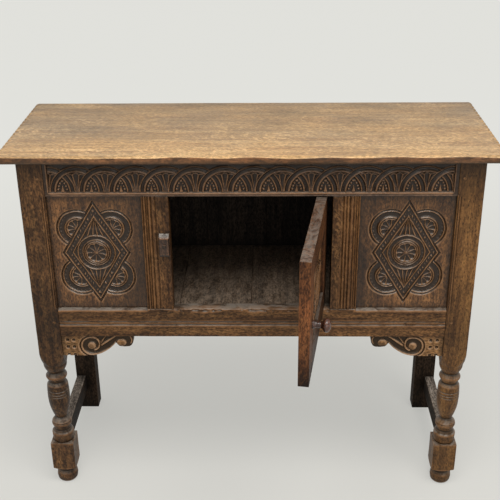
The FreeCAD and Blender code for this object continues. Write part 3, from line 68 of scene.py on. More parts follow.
# %% Camera
def aim_camera(place, turn, tilt, roll, lens):
    """Put the camera at `place` (mm), turned, tilted down and rolled (degrees)."""
    turn, tilt, roll = (math.radians(angle) for angle in (turn, tilt, roll))
    ahead = Vector((math.sin(turn) * math.cos(tilt), math.cos(turn) * math.cos(tilt),
                    -math.sin(tilt)))
    right = Vector((math.cos(turn), -math.sin(turn), 0))
    above = right.cross(ahead)
    across = math.cos(roll) * right + math.sin(roll) * above
    upward = -math.sin(roll) * right + math.cos(roll) * above
    data = bpy.data.cameras.new("camera")
    data.lens, data.sensor_width = lens, 36
    camera = bpy.data.objects.new("camera", data)
    bpy.context.scene.collection.objects.link(camera)
    axes = Matrix((across, upward, -ahead)).transposed().to_4x4()
    camera.matrix_world = Matrix.Translation(Vector(place) * MM) @ axes
    bpy.context.scene.camera = camera
    return camera


camera = aim_camera((38.1, -1832.66, 1504.4), turn=-1.274, tilt=25.407, roll=-0.566, lens=65.4)
print("camera at", [round(value, 3) for value in camera.location], "lens", camera.data.lens)

# %% [markdown]
# ## Short words for shader nodes
# A wood is a chain of small steps: stretch the coordinates, make streaks, darken the
# pores. These helpers place one step each, so that a wood further down reads like its
# recipe. Wiring each node by hand says the same in five times the lines.

# %% Node helpers
def step(tree, kind, settings=None, inputs=None):
    """One node: `inputs` are values, or sockets to connect."""
    made = tree.nodes.new("ShaderNode" + kind)
    for name, value in (settings or {}).items():
        setattr(made, name, value)
    for name, value in (inputs or {}).items():
        if isinstance(value, bpy.types.NodeSocket):
            tree.links.new(value, made.inputs[name])
        else:
            made.inputs[name].default_value = value
    return made


def maths(tree, rule, first, second=0.0, clamp=False):
    """One sum on values or sockets, such as ADD or MAXIMUM."""
    made = step(tree, "Math", {"operation": rule, "use_clamp": clamp}, {0: first, 1: second})
    return made.outputs[0]


def times(tree, first, second):
    return maths(tree, "MULTIPLY", first, second)


def scaled(tree, colour, scale):
    made = step(tree, "VectorMath", {"operation": "SCALE"}, {0: colour, "Scale": scale})
    return made.outputs[0]


def blend(tree, share, first, second):
    """From the first colour to the second as `share` goes from 0 to 1."""
    made = step(tree, "Mix", {"data_type": "RGBA"}, {0: share, 6: first, 7: second})
    return made.outputs[2]


def spread(tree, value, low, high, to_low=0.0, to_high=1.0):
    """A soft step: `to_low` at and before `low`, `to_high` at and past `high`."""
    made = step(tree, "MapRange", {"interpolation_type": "SMOOTHSTEP"},
                {0: value, 1: low, 2: high, 3: to_low, 4: to_high})
    return made.outputs[0]


def stretched(tree, vector, scale, move=(0, 0, 0), turn=(0, 0, 0)):
    made = step(tree, "Mapping", None, {"Vector": vector, "Scale": scale, "Location": move,
                                        "Rotation": turn})
    return made.outputs[0]


def cloud(tree, vector, stretch, detail=3.0, rough=0.5, bend=0.0):
    """Noise whose lumps are smaller where `stretch` is larger."""
    made = step(tree, "TexNoise", None, {"Vector": stretched(tree, vector, stretch), "Scale": 1.0,
                                         "Detail": detail, "Roughness": rough, "Distortion": bend})
    return made.outputs["Fac"]


def new_group(name, inputs):
    """An empty shader group. Inputs are (name, kind, start value)."""
    group = bpy.data.node_groups.new(name, "ShaderNodeTree")
    for label, kind, start in inputs:
        made = group.interface.new_socket(label, in_out="INPUT", socket_type="NodeSocket" + kind)
        if start is not None:
            made.default_value = start
    return group, group.nodes.new("NodeGroupInput")


def hand_out(group, masks):
    """Give a group's finished values to the wood that uses it."""
    for label in masks:
        group.interface.new_socket(label, in_out="OUTPUT", socket_type="NodeSocketFloat")
    result = group.nodes.new("NodeGroupOutput")
    for label, value in masks.items():
        group.links.new(value, result.inputs[label])
    return group


print("node helpers ready")

# %% [markdown]
# ## Daylight in a pale room
# The light in the photograph is soft, comes from above and in front, and leaves a
# sheen on the top board. A wide panel above and in front gives the sheen and the lit
# upper edges of the carving, a weaker one opens the shadows, and a pale surround stands
# for the walls. Small hard lamps would draw sharp shadows that the room doesn't have.

# %% Stage and light
def area_light(name, place, target, width, depth, power, colour):
    """A rectangular lamp at `place`, in metres, that faces `target`."""
    data = bpy.data.lights.new(name, "AREA")
    data.shape, data.size, data.size_y = "RECTANGLE", width, depth
    data.energy, data.color = power, colour
    lamp = bpy.data.objects.new(name, data)
    lamp.location = place
    lamp.rotation_euler = (Vector(target) - Vector(place)).to_track_quat("-Z", "Y").to_euler()
    bpy.context.scene.collection.objects.link(lamp)


def shown_to_eye(tree):
    """1 where an eye or a polished face looks, 0 for the light that falls on things."""
    path = step(tree, "LightPath")
    return maths(tree, "MAXIMUM", path.outputs["Is Camera Ray"], path.outputs["Is Glossy Ray"])


def pale_surround(strength, seen):
    """A soft surround. Eyes and polish see it nearly white, and it lights less."""
    world = bpy.data.worlds.new("pale_room")
    bpy.context.scene.world = world
    world.use_nodes = True
    tree = world.node_tree
    lit = tree.nodes["Background"]
    lit.inputs["Color"].default_value = (1.0, 0.99, 0.965, 1)
    lit.inputs["Strength"].default_value = strength
    shown = step(tree, "Background", None, {"Color": (0.86, 0.86, 0.83, 1), "Strength": seen})
    choose = step(tree, "MixShader", None,
                  {"Fac": shown_to_eye(tree), 1: lit.outputs[0], 2: shown.outputs[0]})
    tree.links.new(choose.outputs[0], tree.nodes["World Output"].inputs["Surface"])


def plain_floor(colour, far_colour, half=14.0):
    """A pale floor that keeps the shadow and fades to the pale room away from it."""
    mesh = bpy.data.meshes.new("floor")
    mesh.from_pydata([(-half, -half, 0), (half, -half, 0), (half, half, 0), (-half, half, 0)],
                     [], [(0, 1, 2, 3)])
    floor = bpy.data.objects.new("floor", mesh)
    bpy.context.scene.collection.objects.link(floor)
    paint = bpy.data.materials.new("pale_floor")
    paint.use_nodes = True
    tree = paint.node_tree
    shader = tree.nodes["Principled BSDF"]
    shader.inputs["Base Color"].default_value = colour
    shader.inputs["Roughness"].default_value = 0.9
    glow = step(tree, "Emission", None, {"Color": far_colour})
    length = step(tree, "VectorMath", {"operation": "LENGTH"},
                  {0: step(tree, "TexCoord").outputs["Object"]})
    fade = spread(tree, length.outputs["Value"], 0.2, 2.6, 0.50, 0.90)
    choose = step(tree, "MixShader", None, {"Fac": times(tree, shown_to_eye(tree), fade),
                                            1: shader.outputs[0], 2: glow.outputs[0]})
    tree.links.new(choose.outputs[0], tree.nodes["Material Output"].inputs["Surface"])
    mesh.materials.append(paint)


bpy.context.scene.view_settings.view_transform = "Standard"
pale_surround(0.42, 0.95)
plain_floor((0.62, 0.61, 0.58, 1), (0.80, 0.80, 0.76, 1))
area_light("window_above", (0.25, -1.0, 3.0), (0, 0.1, 0.8), 2.4, 1.4, 62, (1.0, 0.98, 0.94))
area_light("room_fill", (0.8, -3.2, 1.6), (0, 0, 0.6), 2.4, 1.8, 20, (1.0, 0.97, 0.92))

# %% [markdown]
# ## Oak, seen close
# Oak has long growth streaks, short open pores that hold dirt and old wax, small pits
# where the surface has bruised, and pale rays that flash across the grain where the log
# was cleft through its heart. One group makes them as masks, with the grain along X, and
# each wood mixes its own colours from them. An image of oak would repeat, and it couldn't
# run round a turned leg.

# %% Group: oak figure
def make_oak_figure():
    group, given = new_group("oak_figure", [("Vector", "Vector", None), ("Rays", "Float", 0.5)])
    along = given.outputs["Vector"]
    wave = step(group, "TexNoise", None, {"Vector": stretched(group, along, (3, 9, 9)),
                                          "Scale": 1.0, "Detail": 3.0})
    shift = scaled(group, wave.outputs["Color"], 0.022)
    bent = step(group, "VectorMath", {"operation": "ADD"}, {0: along, 1: shift}).outputs[0]
    broad = cloud(group, bent, (3.0, 60, 60), 4.0, 0.6)
    fine = cloud(group, bent, (9.0, 330, 330), 4.0, 0.65)
    streaks = maths(group, "ADD", times(group, broad, 0.6), times(group, fine, 0.4))
    dashes = cloud(group, bent, (55, 950, 950), 2.0, 0.5)
    rows = cloud(group, bent, (6, 140, 140), 2.0)
    pores = times(group, spread(group, dashes, 0.56, 0.70), spread(group, rows, 0.40, 0.62))
    cells = step(group, "TexVoronoi", {"feature": "F1"},
                 {"Vector": stretched(group, bent, (95, 270, 270)), "Scale": 1.0})
    often = step(group, "SeparateColor", None, {"Color": cells.outputs["Color"]}).outputs[0]
    pits = times(group, spread(group, cells.outputs["Distance"], 0.34, 0.18),
                 spread(group, often, 0.30, 0.4))
    leaning = stretched(group, bent, (1, 1, 1), turn=(0, 0.5, 0.5))
    bands = cloud(group, leaning, (26, 105, 105), 3.0, 0.6, 0.9)
    where = spread(group, cloud(group, along, (5, 9, 9)), 0.36, 0.62)
    flecks = times(group, spread(group, bands, 0.53, 0.63), where)
    flecks = times(group, flecks, given.outputs["Rays"])
    swirl = cloud(group, bent, (16, 42, 42), 4.0, 0.62, 0.8)
    rings = maths(group, "SINE", times(group, swirl, 95.0))
    curls = times(group, spread(group, rings, 0.35, 1.0), spread(group, fine, 0.35, 0.6, 0.2, 1.0))
    height = maths(group, "SUBTRACT", times(group, streaks, 0.5), times(group, pores, 0.6))
    return hand_out(group, {
        "Streaks": streaks, "Pores": pores, "Pits": pits, "Ray flecks": flecks, "Curls": curls,
        "Patches": cloud(group, along, (3.2, 5.5, 5.5), 3.0, 0.55),
        "Mottle": cloud(group, bent, (28, 62, 62), 5.0, 0.68, 0.6),
        "Speckle": cloud(group, bent, (120, 270, 270), 2.0, 0.6),
        "Height": maths(group, "SUBTRACT", height, pits)})


oak_figure = make_oak_figure()
print("oak figure:", len(oak_figure.nodes), "steps")

# %% [markdown]
# ## Long years of hands and dusters
# Polish and dirt gather in the corners and go black, and a painted shade darkens the
# corners too, where less light reaches; every arris that a hand or a duster reaches wears
# back to honey-coloured wood. Both depend on the shape around a spot: how open it is, and
# how sharply the surface turns. The group measures these two, so that wear sits where the
# wood sticks out, whichever part it is on.

# %% Group: age
def make_age_and_shade():
    group, given = new_group("age_and_shade", [("Vector", "Vector", None), ("Reach", "Float", 0.0022)])
    ragged = cloud(group, given.outputs["Vector"], (70, 70, 70), 4.0, 0.6)
    soft = step(group, "Bevel", {"samples": 6}, {"Radius": given.outputs["Reach"]}).outputs[0]
    true = step(group, "NewGeometry").outputs["Normal"]
    turn = step(group, "VectorMath", {"operation": "DOT_PRODUCT"}, {0: soft, 1: true})
    sharp = maths(group, "SUBTRACT", 1.0, turn.outputs["Value"])
    # Ambient occlusion: grime and a painted shade where the corners are closed in.
    near = step(group, "AmbientOcclusion", {"samples": 6}, {"Distance": 0.05}).outputs["AO"]
    open_share = maths(group, "ADD", near, times(group, ragged, 0.14))
    return hand_out(group, {
        "Edge": spread(group, times(group, sharp, maths(group, "ADD", ragged, 0.2)), 0.02, 0.17),
        "Crevice grime and shade": spread(group, open_share, 0.98, 0.40)})


age_and_shade = make_age_and_shade()
print("age:", len(age_and_shade.nodes), "steps")

# %% [markdown]
# ## The woods of the cupboard
# One recipe serves them all, because they come from the same kind of tree: three tones
# from streak to streak, mottled and pitted, pale rays, corners black with grime and
# painted shade, honey arrises. The frame, the panels, the top and the unseen boards
# differ in their tones, and each member's grain runs along its own length, as a joiner
# would cut it. Worked parts carry two more numbers in their mesh: how far a spot stands
# out, and how much grime and painted shade it has. A ladder of painted shade by height
# keeps the wood dark under the top, where its shadow falls.

# %% Oak material
TURNS = {"x": (0, 0, 0), "y": (0, 0, math.radians(-90)), "z": (0, math.radians(90), 0)}
# Painted shade by height: darker under the top, where its shadow falls, and in bands lower down; the
# posts have a ladder of their own.
PAINTED_SHADE_BY_HEIGHT = ((0.0, 0.75), (0.38, 0.95), (0.50, 0.80), (0.60, 1.05), (0.74, 1.0), (0.80, 0.62),
             (0.86, 0.42))
POST_PAINTED_SHADE = ((0.0, 0.7), (0.36, 0.85), (0.41, 0.55), (0.50, 0.72), (0.60, 1.0), (0.74, 1.0),
               (0.80, 0.62), (0.86, 0.40))
LEVEL = ((0.0, 1.0), (0.87, 1.0))
LADDER_TOP = 0.9
# Greyish dust, with a painted sheen, laid on faces that point up.
DUST_AND_SHEEN = (0.22, 0.19, 0.16, 1)


def painted_shade_ladder(tree, height, shades):
    """A painted shade for each height above the floor, from (height, shade) pairs."""
    share = maths(tree, "DIVIDE", height, LADDER_TOP, clamp=True)
    ramp = step(tree, "ValToRGB", None, {"Fac": share})
    stops = ramp.color_ramp.elements
    stops[0].position = shades[0][0] / LADDER_TOP
    stops[1].position = shades[-1][0] / LADDER_TOP
    for level, shade in shades[1:-1]:
        stops.new(level / LADDER_TOP)
    for number, (level, shade) in enumerate(shades):
        stops[number].color = (shade / 2, shade / 2, shade / 2, 1)
    return times(tree, ramp.outputs["Color"], 2.0)


# A wood from its tones. `rays` to `curly` are how much each mark of age, growth or
# painted light shows, `shades` its ladder of painted shade, `behind` the lift of faces that
# point to the back, and the two before `behind` the share and colour of a painted shade on
# upright faces. `turn` is the angle of a turned piece.
def oak(name, along, dark, mid, light, rays=0.5, wear=0.6, crevice_shade_and_dirt=0.9, patchy=0.6, pitted=0.7,
        rough=(0.34, 0.50), bump=0.35, honey=(0.25, 0.118, 0.046), shades=PAINTED_SHADE_BY_HEIGHT,
        dust_and_sheen=0.3, gloss=0.2, curly=0.25, upright_shade=0.0, upright_shade_colour=(0.150, 0.064, 0.024),
        behind=1.0, speckled=0.8, move=(0, 0, 0), turn=None):
    wood = bpy.data.materials.new(name)
    wood.use_nodes = True
    tree = wood.node_tree
    shader = tree.nodes["Principled BSDF"]
    shader.inputs["Specular IOR Level"].default_value = gloss
    place = step(tree, "TexCoord").outputs["Object"]
    height = step(tree, "SeparateXYZ", None, {"Vector": place}).outputs["Z"]
    if turn is not None:
        place = step(tree, "VectorRotate", {"rotation_type": "Z_AXIS"},
                     {"Vector": place, "Angle": turn}).outputs[0]
    vector = stretched(tree, place, (1, 1, 1), move, TURNS[along])
    marks = step(tree, "Group", {"node_tree": oak_figure}, {"Vector": vector, "Rays": rays}).outputs
    old = step(tree, "Group", {"node_tree": age_and_shade}, {"Vector": place})
    lift = step(tree, "Attribute", {"attribute_name": "lift"}).outputs["Fac"]
    grime_and_shade = step(tree, "Attribute", {"attribute_name": "grime_and_shade"}).outputs["Fac"]
    # Three tones from streak to streak, lighter and darker in patches, and a painted shade by height.
    tones = step(tree, "ValToRGB", None, {"Fac": marks["Streaks"]})
    stops = tones.color_ramp.elements
    stops[0].position, stops[0].color = 0.36, (*dark, 1)
    stops[1].position, stops[1].color = 0.66, (*light, 1)
    stops.new(0.5).color = (*mid, 1)
    shade = spread(tree, marks["Patches"], 0.36, 0.64, 1 - patchy * 0.5, 1 + patchy * 0.4)
    mottle = spread(tree, marks["Mottle"], 0.34, 0.66, 1 - patchy * 0.45, 1 + patchy * 0.4)
    shade = times(tree, shade, mottle)
    specks = spread(tree, marks["Speckle"], 0.37, 0.63, 1 - speckled * 0.55,
                    1 + speckled * 0.6)
    shade = times(tree, shade, specks)
    shade = times(tree, shade, painted_shade_ladder(tree, height, shades))
    colour = scaled(tree, tones.outputs["Color"], shade)
    # Pale rays, dark curls, and black pits and pores.
    pale = tuple(min(1.0, value * 1.45 + 0.004) for value in light) + (1,)
    colour = blend(tree, times(tree, marks["Ray flecks"], 0.7), colour, pale)
    curls = times(tree, marks["Curls"], curly)
    colour = blend(tree, curls, colour, tuple(value * 0.5 for value in dark) + (1,))
    ink = tuple(value * 0.2 for value in dark) + (1,)
    holes = times(tree, marks["Pits"], pitted)
    holes = maths(tree, "MAXIMUM", holes, times(tree, marks["Pores"], 0.75))
    colour = blend(tree, holes, colour, ink)
    # Inside boards are near-black, a painted shade for the inside of the case, and faces that point
    # out at the back are lifted from it; upright faces get a painted shade in a colour of their own.
    faces = step(tree, "SeparateXYZ", None,
                 {"Vector": step(tree, "NewGeometry").outputs["Normal"]})
    up = faces.outputs["Z"]
    if behind != 1.0:
        colour = scaled(tree, colour, spread(tree, faces.outputs["Y"], 0.3, 0.8, 1.0, behind))
    if upright_shade:
        beside = times(tree, spread(tree, up, 0.80, 0.25), upright_shade)
        stain = spread(tree, marks["Mottle"], 0.38, 0.62, 0.55, 1.35)
        colour = blend(tree, beside, colour, scaled(tree, upright_shade_colour, times(tree, shade, stain)))
    # Grime and painted shade in the hollows, bare wood on the arrises, and dust with a painted sheen
    # on what faces up.
    edge = maths(tree, "MAXIMUM", old.outputs["Edge"], spread(tree, lift, 0.54, 0.82))
    hollow = maths(tree, "MAXIMUM", grime_and_shade, times(tree, old.outputs["Crevice grime and shade"], crevice_shade_and_dirt))
    colour = blend(tree, hollow, colour, (mid[0] * 0.15, mid[1] * 0.17, mid[2] * 0.20, 1))
    edge = times(tree, edge, spread(tree, marks["Mottle"], 0.3, 0.6, 0.45, 1))
    edge = times(tree, edge, wear)
    worn = scaled(tree, honey, maths(tree, "MINIMUM", painted_shade_ladder(tree, height, shades), 1.0))
    colour = blend(tree, edge, colour, worn)
    if dust_and_sheen:
        dust_and_sheen_share = times(tree, spread(tree, up, 0.28, 0.75),
                     spread(tree, marks["Mottle"], 0.38, 0.58, 0.15, 1.0))
        colour = blend(tree, times(tree, dust_and_sheen_share, dust_and_sheen), colour, DUST_AND_SHEEN)
    tree.links.new(colour, shader.inputs["Base Color"])
    polish = spread(tree, marks["Patches"], 0.3, 0.7, rough[0], rough[1])
    polish = maths(tree, "ADD", polish, times(tree, holes, 0.25), clamp=True)
    tree.links.new(polish, shader.inputs["Roughness"])
    grain = step(tree, "Bump", None, {"Strength": bump, "Distance": 0.0012,
                                      "Height": marks["Height"]})
    tree.links.new(grain.outputs["Normal"], shader.inputs["Normal"])
    return wood


def iron(name):
    """Forged iron: near black, browner and duller where rust has begun."""
    metal = bpy.data.materials.new(name)
    metal.use_nodes = True
    tree = metal.node_tree
    shader = tree.nodes["Principled BSDF"]
    place = step(tree, "TexCoord").outputs["Object"]
    rust = spread(tree, cloud(tree, place, (160, 160, 160), 4.0, 0.6), 0.4, 0.62)
    colour = blend(tree, rust, (0.045, 0.040, 0.037, 1), (0.075, 0.038, 0.020, 1))
    tree.links.new(colour, shader.inputs["Base Color"])
    tree.links.new(spread(tree, rust, 0, 1, 0.85, 0.2), shader.inputs["Metallic"])
    tree.links.new(spread(tree, rust, 0, 1, 0.38, 0.75), shader.inputs["Roughness"])
    hammered = step(tree, "Bump", None, {"Strength": 0.5, "Distance": 0.0008, "Height": rust})
    tree.links.new(hammered.outputs["Normal"], shader.inputs["Normal"])
    return metal


FRAME_TONES = ((0.042, 0.018, 0.007), (0.108, 0.050, 0.019), (0.195, 0.098, 0.036))
WARM_TONES = ((0.066, 0.028, 0.009), (0.155, 0.072, 0.023), (0.250, 0.126, 0.040))
DOOR_TONES = ((0.048, 0.017, 0.006), (0.122, 0.043, 0.015), (0.200, 0.080, 0.026))
PANEL_TONES = ((0.048, 0.020, 0.008), (0.116, 0.051, 0.018), (0.195, 0.090, 0.031))
CARVED_TONES = ((0.052, 0.027, 0.014), (0.110, 0.058, 0.031), (0.175, 0.096, 0.053))
BRACKET_TONES = ((0.110, 0.053, 0.020), (0.200, 0.102, 0.040), (0.290, 0.155, 0.062))
DARK_TONES = ((0.012, 0.008, 0.005), (0.026, 0.016, 0.010), (0.048, 0.029, 0.018))
TOP_TONES = ((0.340, 0.182, 0.070), (0.500, 0.300, 0.128), (0.650, 0.425, 0.200))
STRETCHER_TONES = ((0.110, 0.090, 0.072), (0.220, 0.180, 0.148), (0.330, 0.280, 0.235))
# The inside boards are near-black: a painted shade for the inside of the case.
INNER_TONES = ((0.010, 0.008, 0.007), (0.024, 0.018, 0.014), (0.046, 0.033, 0.024))
FLOOR_TONES = ((0.060, 0.042, 0.029), (0.125, 0.086, 0.058), (0.200, 0.140, 0.096))
PEG_TONES = ((0.060, 0.028, 0.011), (0.150, 0.074, 0.030), (0.270, 0.140, 0.062))
KNOB_TONES = ((0.035, 0.014, 0.009), (0.080, 0.030, 0.018), (0.130, 0.052, 0.031))
DOOR_TURN = math.radians(-81.6)
# The open door's painted shade by height, darkest at its foot.
DOOR_SHADES = ((0.0, 0.3), (0.508, 0.12), (0.545, 0.36), (0.59, 0.82), (0.66, 1.1), (0.72, 0.75),
               (0.775, 0.55))
WORN = (0.36, 0.190, 0.095)
ROUGH = (0.58, 0.74)
woods = {
    "frame_x": oak("frame_oak_across", "x", *FRAME_TONES, wear=0.8, dust_and_sheen=0.7,
                   honey=(0.36, 0.175, 0.075)),
    "frame_y": oak("frame_oak_deep", "y", *FRAME_TONES, move=(2, 1, 0)),
    "post_z": oak("post_oak", "z", *FRAME_TONES, rays=0.4, patchy=0.9, rough=(0.38, 0.52),
                  move=(0, 3, 1), gloss=0.25, dust_and_sheen=0.7, honey=(0.33, 0.16, 0.07),
                  shades=POST_PAINTED_SHADE),
    "right_post_z": oak("right_post_oak", "z", *WARM_TONES, rays=0.3, patchy=0.4,
                        speckled=0.45, shades=POST_PAINTED_SHADE,
                        rough=(0.38, 0.52), move=(0, 5, 2), gloss=0.25, dust_and_sheen=0.7,
                        honey=(0.36, 0.18, 0.08)),
    "muntin_z": oak("muntin_oak", "z", *FRAME_TONES, rays=1.0, move=(3, 3, 1)),
    "rear_z": oak("rear_leg_oak", "z", *DARK_TONES, wear=0.5, move=(0, 5, 1), shades=LEVEL,
                  rough=ROUGH, gloss=0.1),
    # The stretcher's upright faces take a near-black painted shade; its tones are those of its lit
    # top.
    "stretcher_y": oak("stretcher_oak", "y", *STRETCHER_TONES, dust_and_sheen=0, upright_shade=1.0,
                       upright_shade_colour=(0.022, 0.014, 0.009), move=(1, 5, 1), shades=LEVEL,
                       rough=ROUGH, gloss=0.1),
    "carved_x": oak("carved_oak_across", "x", *CARVED_TONES, wear=0.9, rough=(0.25, 0.38),
                    honey=WORN, pitted=0.3, gloss=0.3, curly=0.0, speckled=0.6, dust_and_sheen=0.3),
    "bracket_x": oak("bracket_oak", "x", *BRACKET_TONES, wear=0.9, rough=(0.26, 0.40), curly=0.1,
                     move=(1, 2, 2), pitted=0.3, shades=LEVEL, honey=(0.38, 0.22, 0.12)),
    "panel_z": oak("panel_oak_upright", "z", *PANEL_TONES, wear=0.9, rays=0.2, patchy=0.7,
                   rough=(0.22, 0.36), honey=(0.27, 0.145, 0.070), gloss=0.4, dust_and_sheen=0.45, shades=LEVEL,
                   curly=0.1),
    "plain_z": oak("side_panel_oak", "z", *PANEL_TONES, rays=0.4, move=(4, 0, 2), shades=LEVEL),
    # Its pale honey arris colour is worn wood with a painted highlight along the front.
    "top_x": oak("top_oak", "x", *TOP_TONES, rays=0.8, patchy=0.24, rough=(0.32, 0.42), dust_and_sheen=0.0,
                 wear=0.6, crevice_shade_and_dirt=0.4, pitted=0.3, honey=(0.72, 0.52, 0.30), gloss=0.4,
                 curly=0.46, shades=LEVEL, upright_shade=1.0, speckled=0.45),
    "inner_x": oak("inner_oak_across", "x", *INNER_TONES, wear=0.15, rough=ROUGH, dust_and_sheen=0,
                   behind=3.2, gloss=0.1),
    "inner_z": oak("inner_oak_upright", "z", *INNER_TONES, wear=0.15, rough=ROUGH, dust_and_sheen=0,
                   shades=LEVEL, behind=3.2, gloss=0.1),
    "floor_y": oak("floor_oak_deep", "y", *FLOOR_TONES, wear=0.3, rough=(0.42, 0.6), dust_and_sheen=0.2,
                   pitted=0.2, shades=LEVEL),
    "door_x": oak("door_oak_across", "x", *DOOR_TONES, turn=DOOR_TURN, move=(0, 2, 0),
                  shades=DOOR_SHADES, dust_and_sheen=0.5),
    "door_z": oak("door_oak_upright", "z", *DOOR_TONES, turn=DOOR_TURN, move=(2, 2, 0),
                  patchy=0.9, honey=(0.34, 0.14, 0.045), shades=DOOR_SHADES, dust_and_sheen=0.5),
    "door_panel": oak("door_panel_oak", "x", *PANEL_TONES, wear=0.8, rays=0.3,
                      turn=DOOR_TURN, move=(5, 2, 0), shades=LEVEL, curly=0.1),
    "button_z": oak("button_oak", "z", (0.02, 0.01, 0.006), (0.05, 0.024, 0.013),
                    (0.09, 0.044, 0.022), wear=0.9, rough=(0.22, 0.30), dust_and_sheen=0.8, shades=LEVEL,
                    honey=(0.26, 0.12, 0.055), gloss=0.4),
    "knob": oak("knob_wood", "x", *KNOB_TONES, rays=0.0, wear=0.3, rough=(0.18, 0.26), bump=0.1,
                turn=DOOR_TURN, shades=LEVEL, dust_and_sheen=0, gloss=0.5, pitted=0, curly=0),
    "peg": oak("peg_oak", "y", *PEG_TONES, rays=0.0, wear=0.3, shades=LEVEL),
    "iron": iron("forged_iron"),
}
print("woods:", ", ".join(sorted(woods)))

# %% [markdown]
# ## From numbers to wood
# A carved or worn member is one closed skin: a fine grid for the face that was worked,
# folded back round the sides to a flat back. The grid is closer together near the
# edges, where the arris is rounded over. The carving is a height at each point of the
# grid, so ridges, hollows and punch marks are real relief and catch the light by
# themselves. Each part replaces the plain one in the frame and moves with its body.

# %% Mesh helpers
LIFT_CELLS = 5
SHARP_ANGLE = 42


def unit(value):
    return np.clip(value, 0, 1)


def bell(distance, width):
    """1 at distance 0, falling away smoothly on both sides."""
    return np.exp(-(distance / width) ** 2)


def add_part(name, points, faces, wood, body, replaced=(), lift=None, grime_and_shade=None):
    """A new piece from points in millimetres, riding on a body of the frame."""
    mesh = bpy.data.meshes.new(name)
    mesh.from_pydata((np.asarray(points, float) * MM).tolist(), [], faces)
    for label, numbers in (("lift", lift), ("grime_and_shade", grime_and_shade)):
        if numbers is not None:
            # Points past the worked face, on the sides and back, get middling wear and heavy grime
            # with painted shade.
            full = np.full(len(points), 0.5 if label == "lift" else 0.8, np.float32)
            full[:numbers.size] = numbers.ravel()
            values = mesh.attributes.new(label, "FLOAT", "POINT")
            values.data.foreach_set("value", full)
    mesh.update()
    part = bpy.data.objects.new(name, mesh)
    bpy.context.scene.collection.objects.link(part)
    mesh.materials.append(wood)
    mesh.polygons.foreach_set("use_smooth", [True] * len(mesh.polygons))
    mesh.set_sharp_from_angle(angle=math.radians(SHARP_ANGLE))
    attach(part, body)
    if replaced:
        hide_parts(*replaced)
    return part


def cad_box(node):
    """A node's corners in millimetres, with y counted from the front of the posts."""
    low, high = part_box(node)
    return (np.array(low) / MM - (0, FRONT, 0), np.array(high) / MM - (0, FRONT, 0))


def grid_lines(low, high, gap, rim=2.4):
    """Places from low to high, about `gap` apart and closer at both ends."""
    near = np.array([0, 0.12, 0.35, 0.7, 1.15, 1.7]) * rim / 2.4
    inner = np.linspace(low + rim, high - rim, max(2, int((high - low - 2 * rim) / gap) + 1))
    return np.concatenate((low + near, inner, (high - near)[::-1]))


def rounded(x, z, low, high, size):
    """How far the face falls back near its four edges, as a quarter round."""
    away = np.minimum(np.minimum(x - low[0], high[0] - x), np.minimum(z - low[1], high[1] - z))
    inside = np.clip(size - away, 0, size)
    return size - np.sqrt(np.maximum(size * size - inside * inside, 0))


def ripple(a, b, seed, span=60.0, parts=7):
    """Gentle unevenness of a hand-planed face, between about -1 and 1."""
    random = np.random.default_rng(seed)
    total = np.zeros(np.broadcast(a, b).shape)
    for index in range(parts):
        angle = random.uniform(0, 2 * math.pi)
        length = span * random.uniform(0.35, 1.6)
        wave = (a * math.cos(angle) + b * math.sin(angle)) / length
        total += np.sin(2 * math.pi * wave + random.uniform(0, 7)) * random.uniform(0.4, 1)
    return total / parts * 1.7


def blurred(heights, cells):
    """A running mean in both directions."""
    for axis in (0, 1):
        pad = [(0, 0), (0, 0)]
        pad[axis] = (cells, cells)
        sums = np.cumsum(np.pad(heights, pad, mode="edge"), axis=axis)
        size = heights.shape[axis]
        upper = np.take(sums, range(2 * cells, 2 * cells + size), axis=axis)
        lower = np.take(sums, range(0, size), axis=axis)
        heights = (upper - lower) / (2 * cells)
    return heights


def border(grid):
    """The outermost cells of a grid, once round."""
    return np.concatenate((grid[:, 0], grid[-1, 1:], grid[-2::-1, -1], grid[0, -2:0:-1]))


def closed_skin(front, rings):
    """Faces of a worked front, then of each ring round its border, and a flat back."""
    index = np.arange(front.shape[0] * front.shape[1]).reshape(front.shape[:2])
    corners = (index[:-1, :-1], index[1:, :-1], index[1:, 1:], index[:-1, 1:])
    faces = np.stack([corner.ravel() for corner in corners], -1).tolist()
    last, count = border(index), index.size
    points = [front.reshape(-1, 3)]
    for ring in rings:
        fresh = np.arange(count, count + len(ring))
        count += len(ring)
        points.append(ring)
        sides = np.stack((np.roll(last, -1), last, fresh, np.roll(fresh, -1)), -1)
        faces.extend(sides.tolist())
        last = fresh
    faces.append(last[::-1].tolist())
    return np.concatenate(points), faces


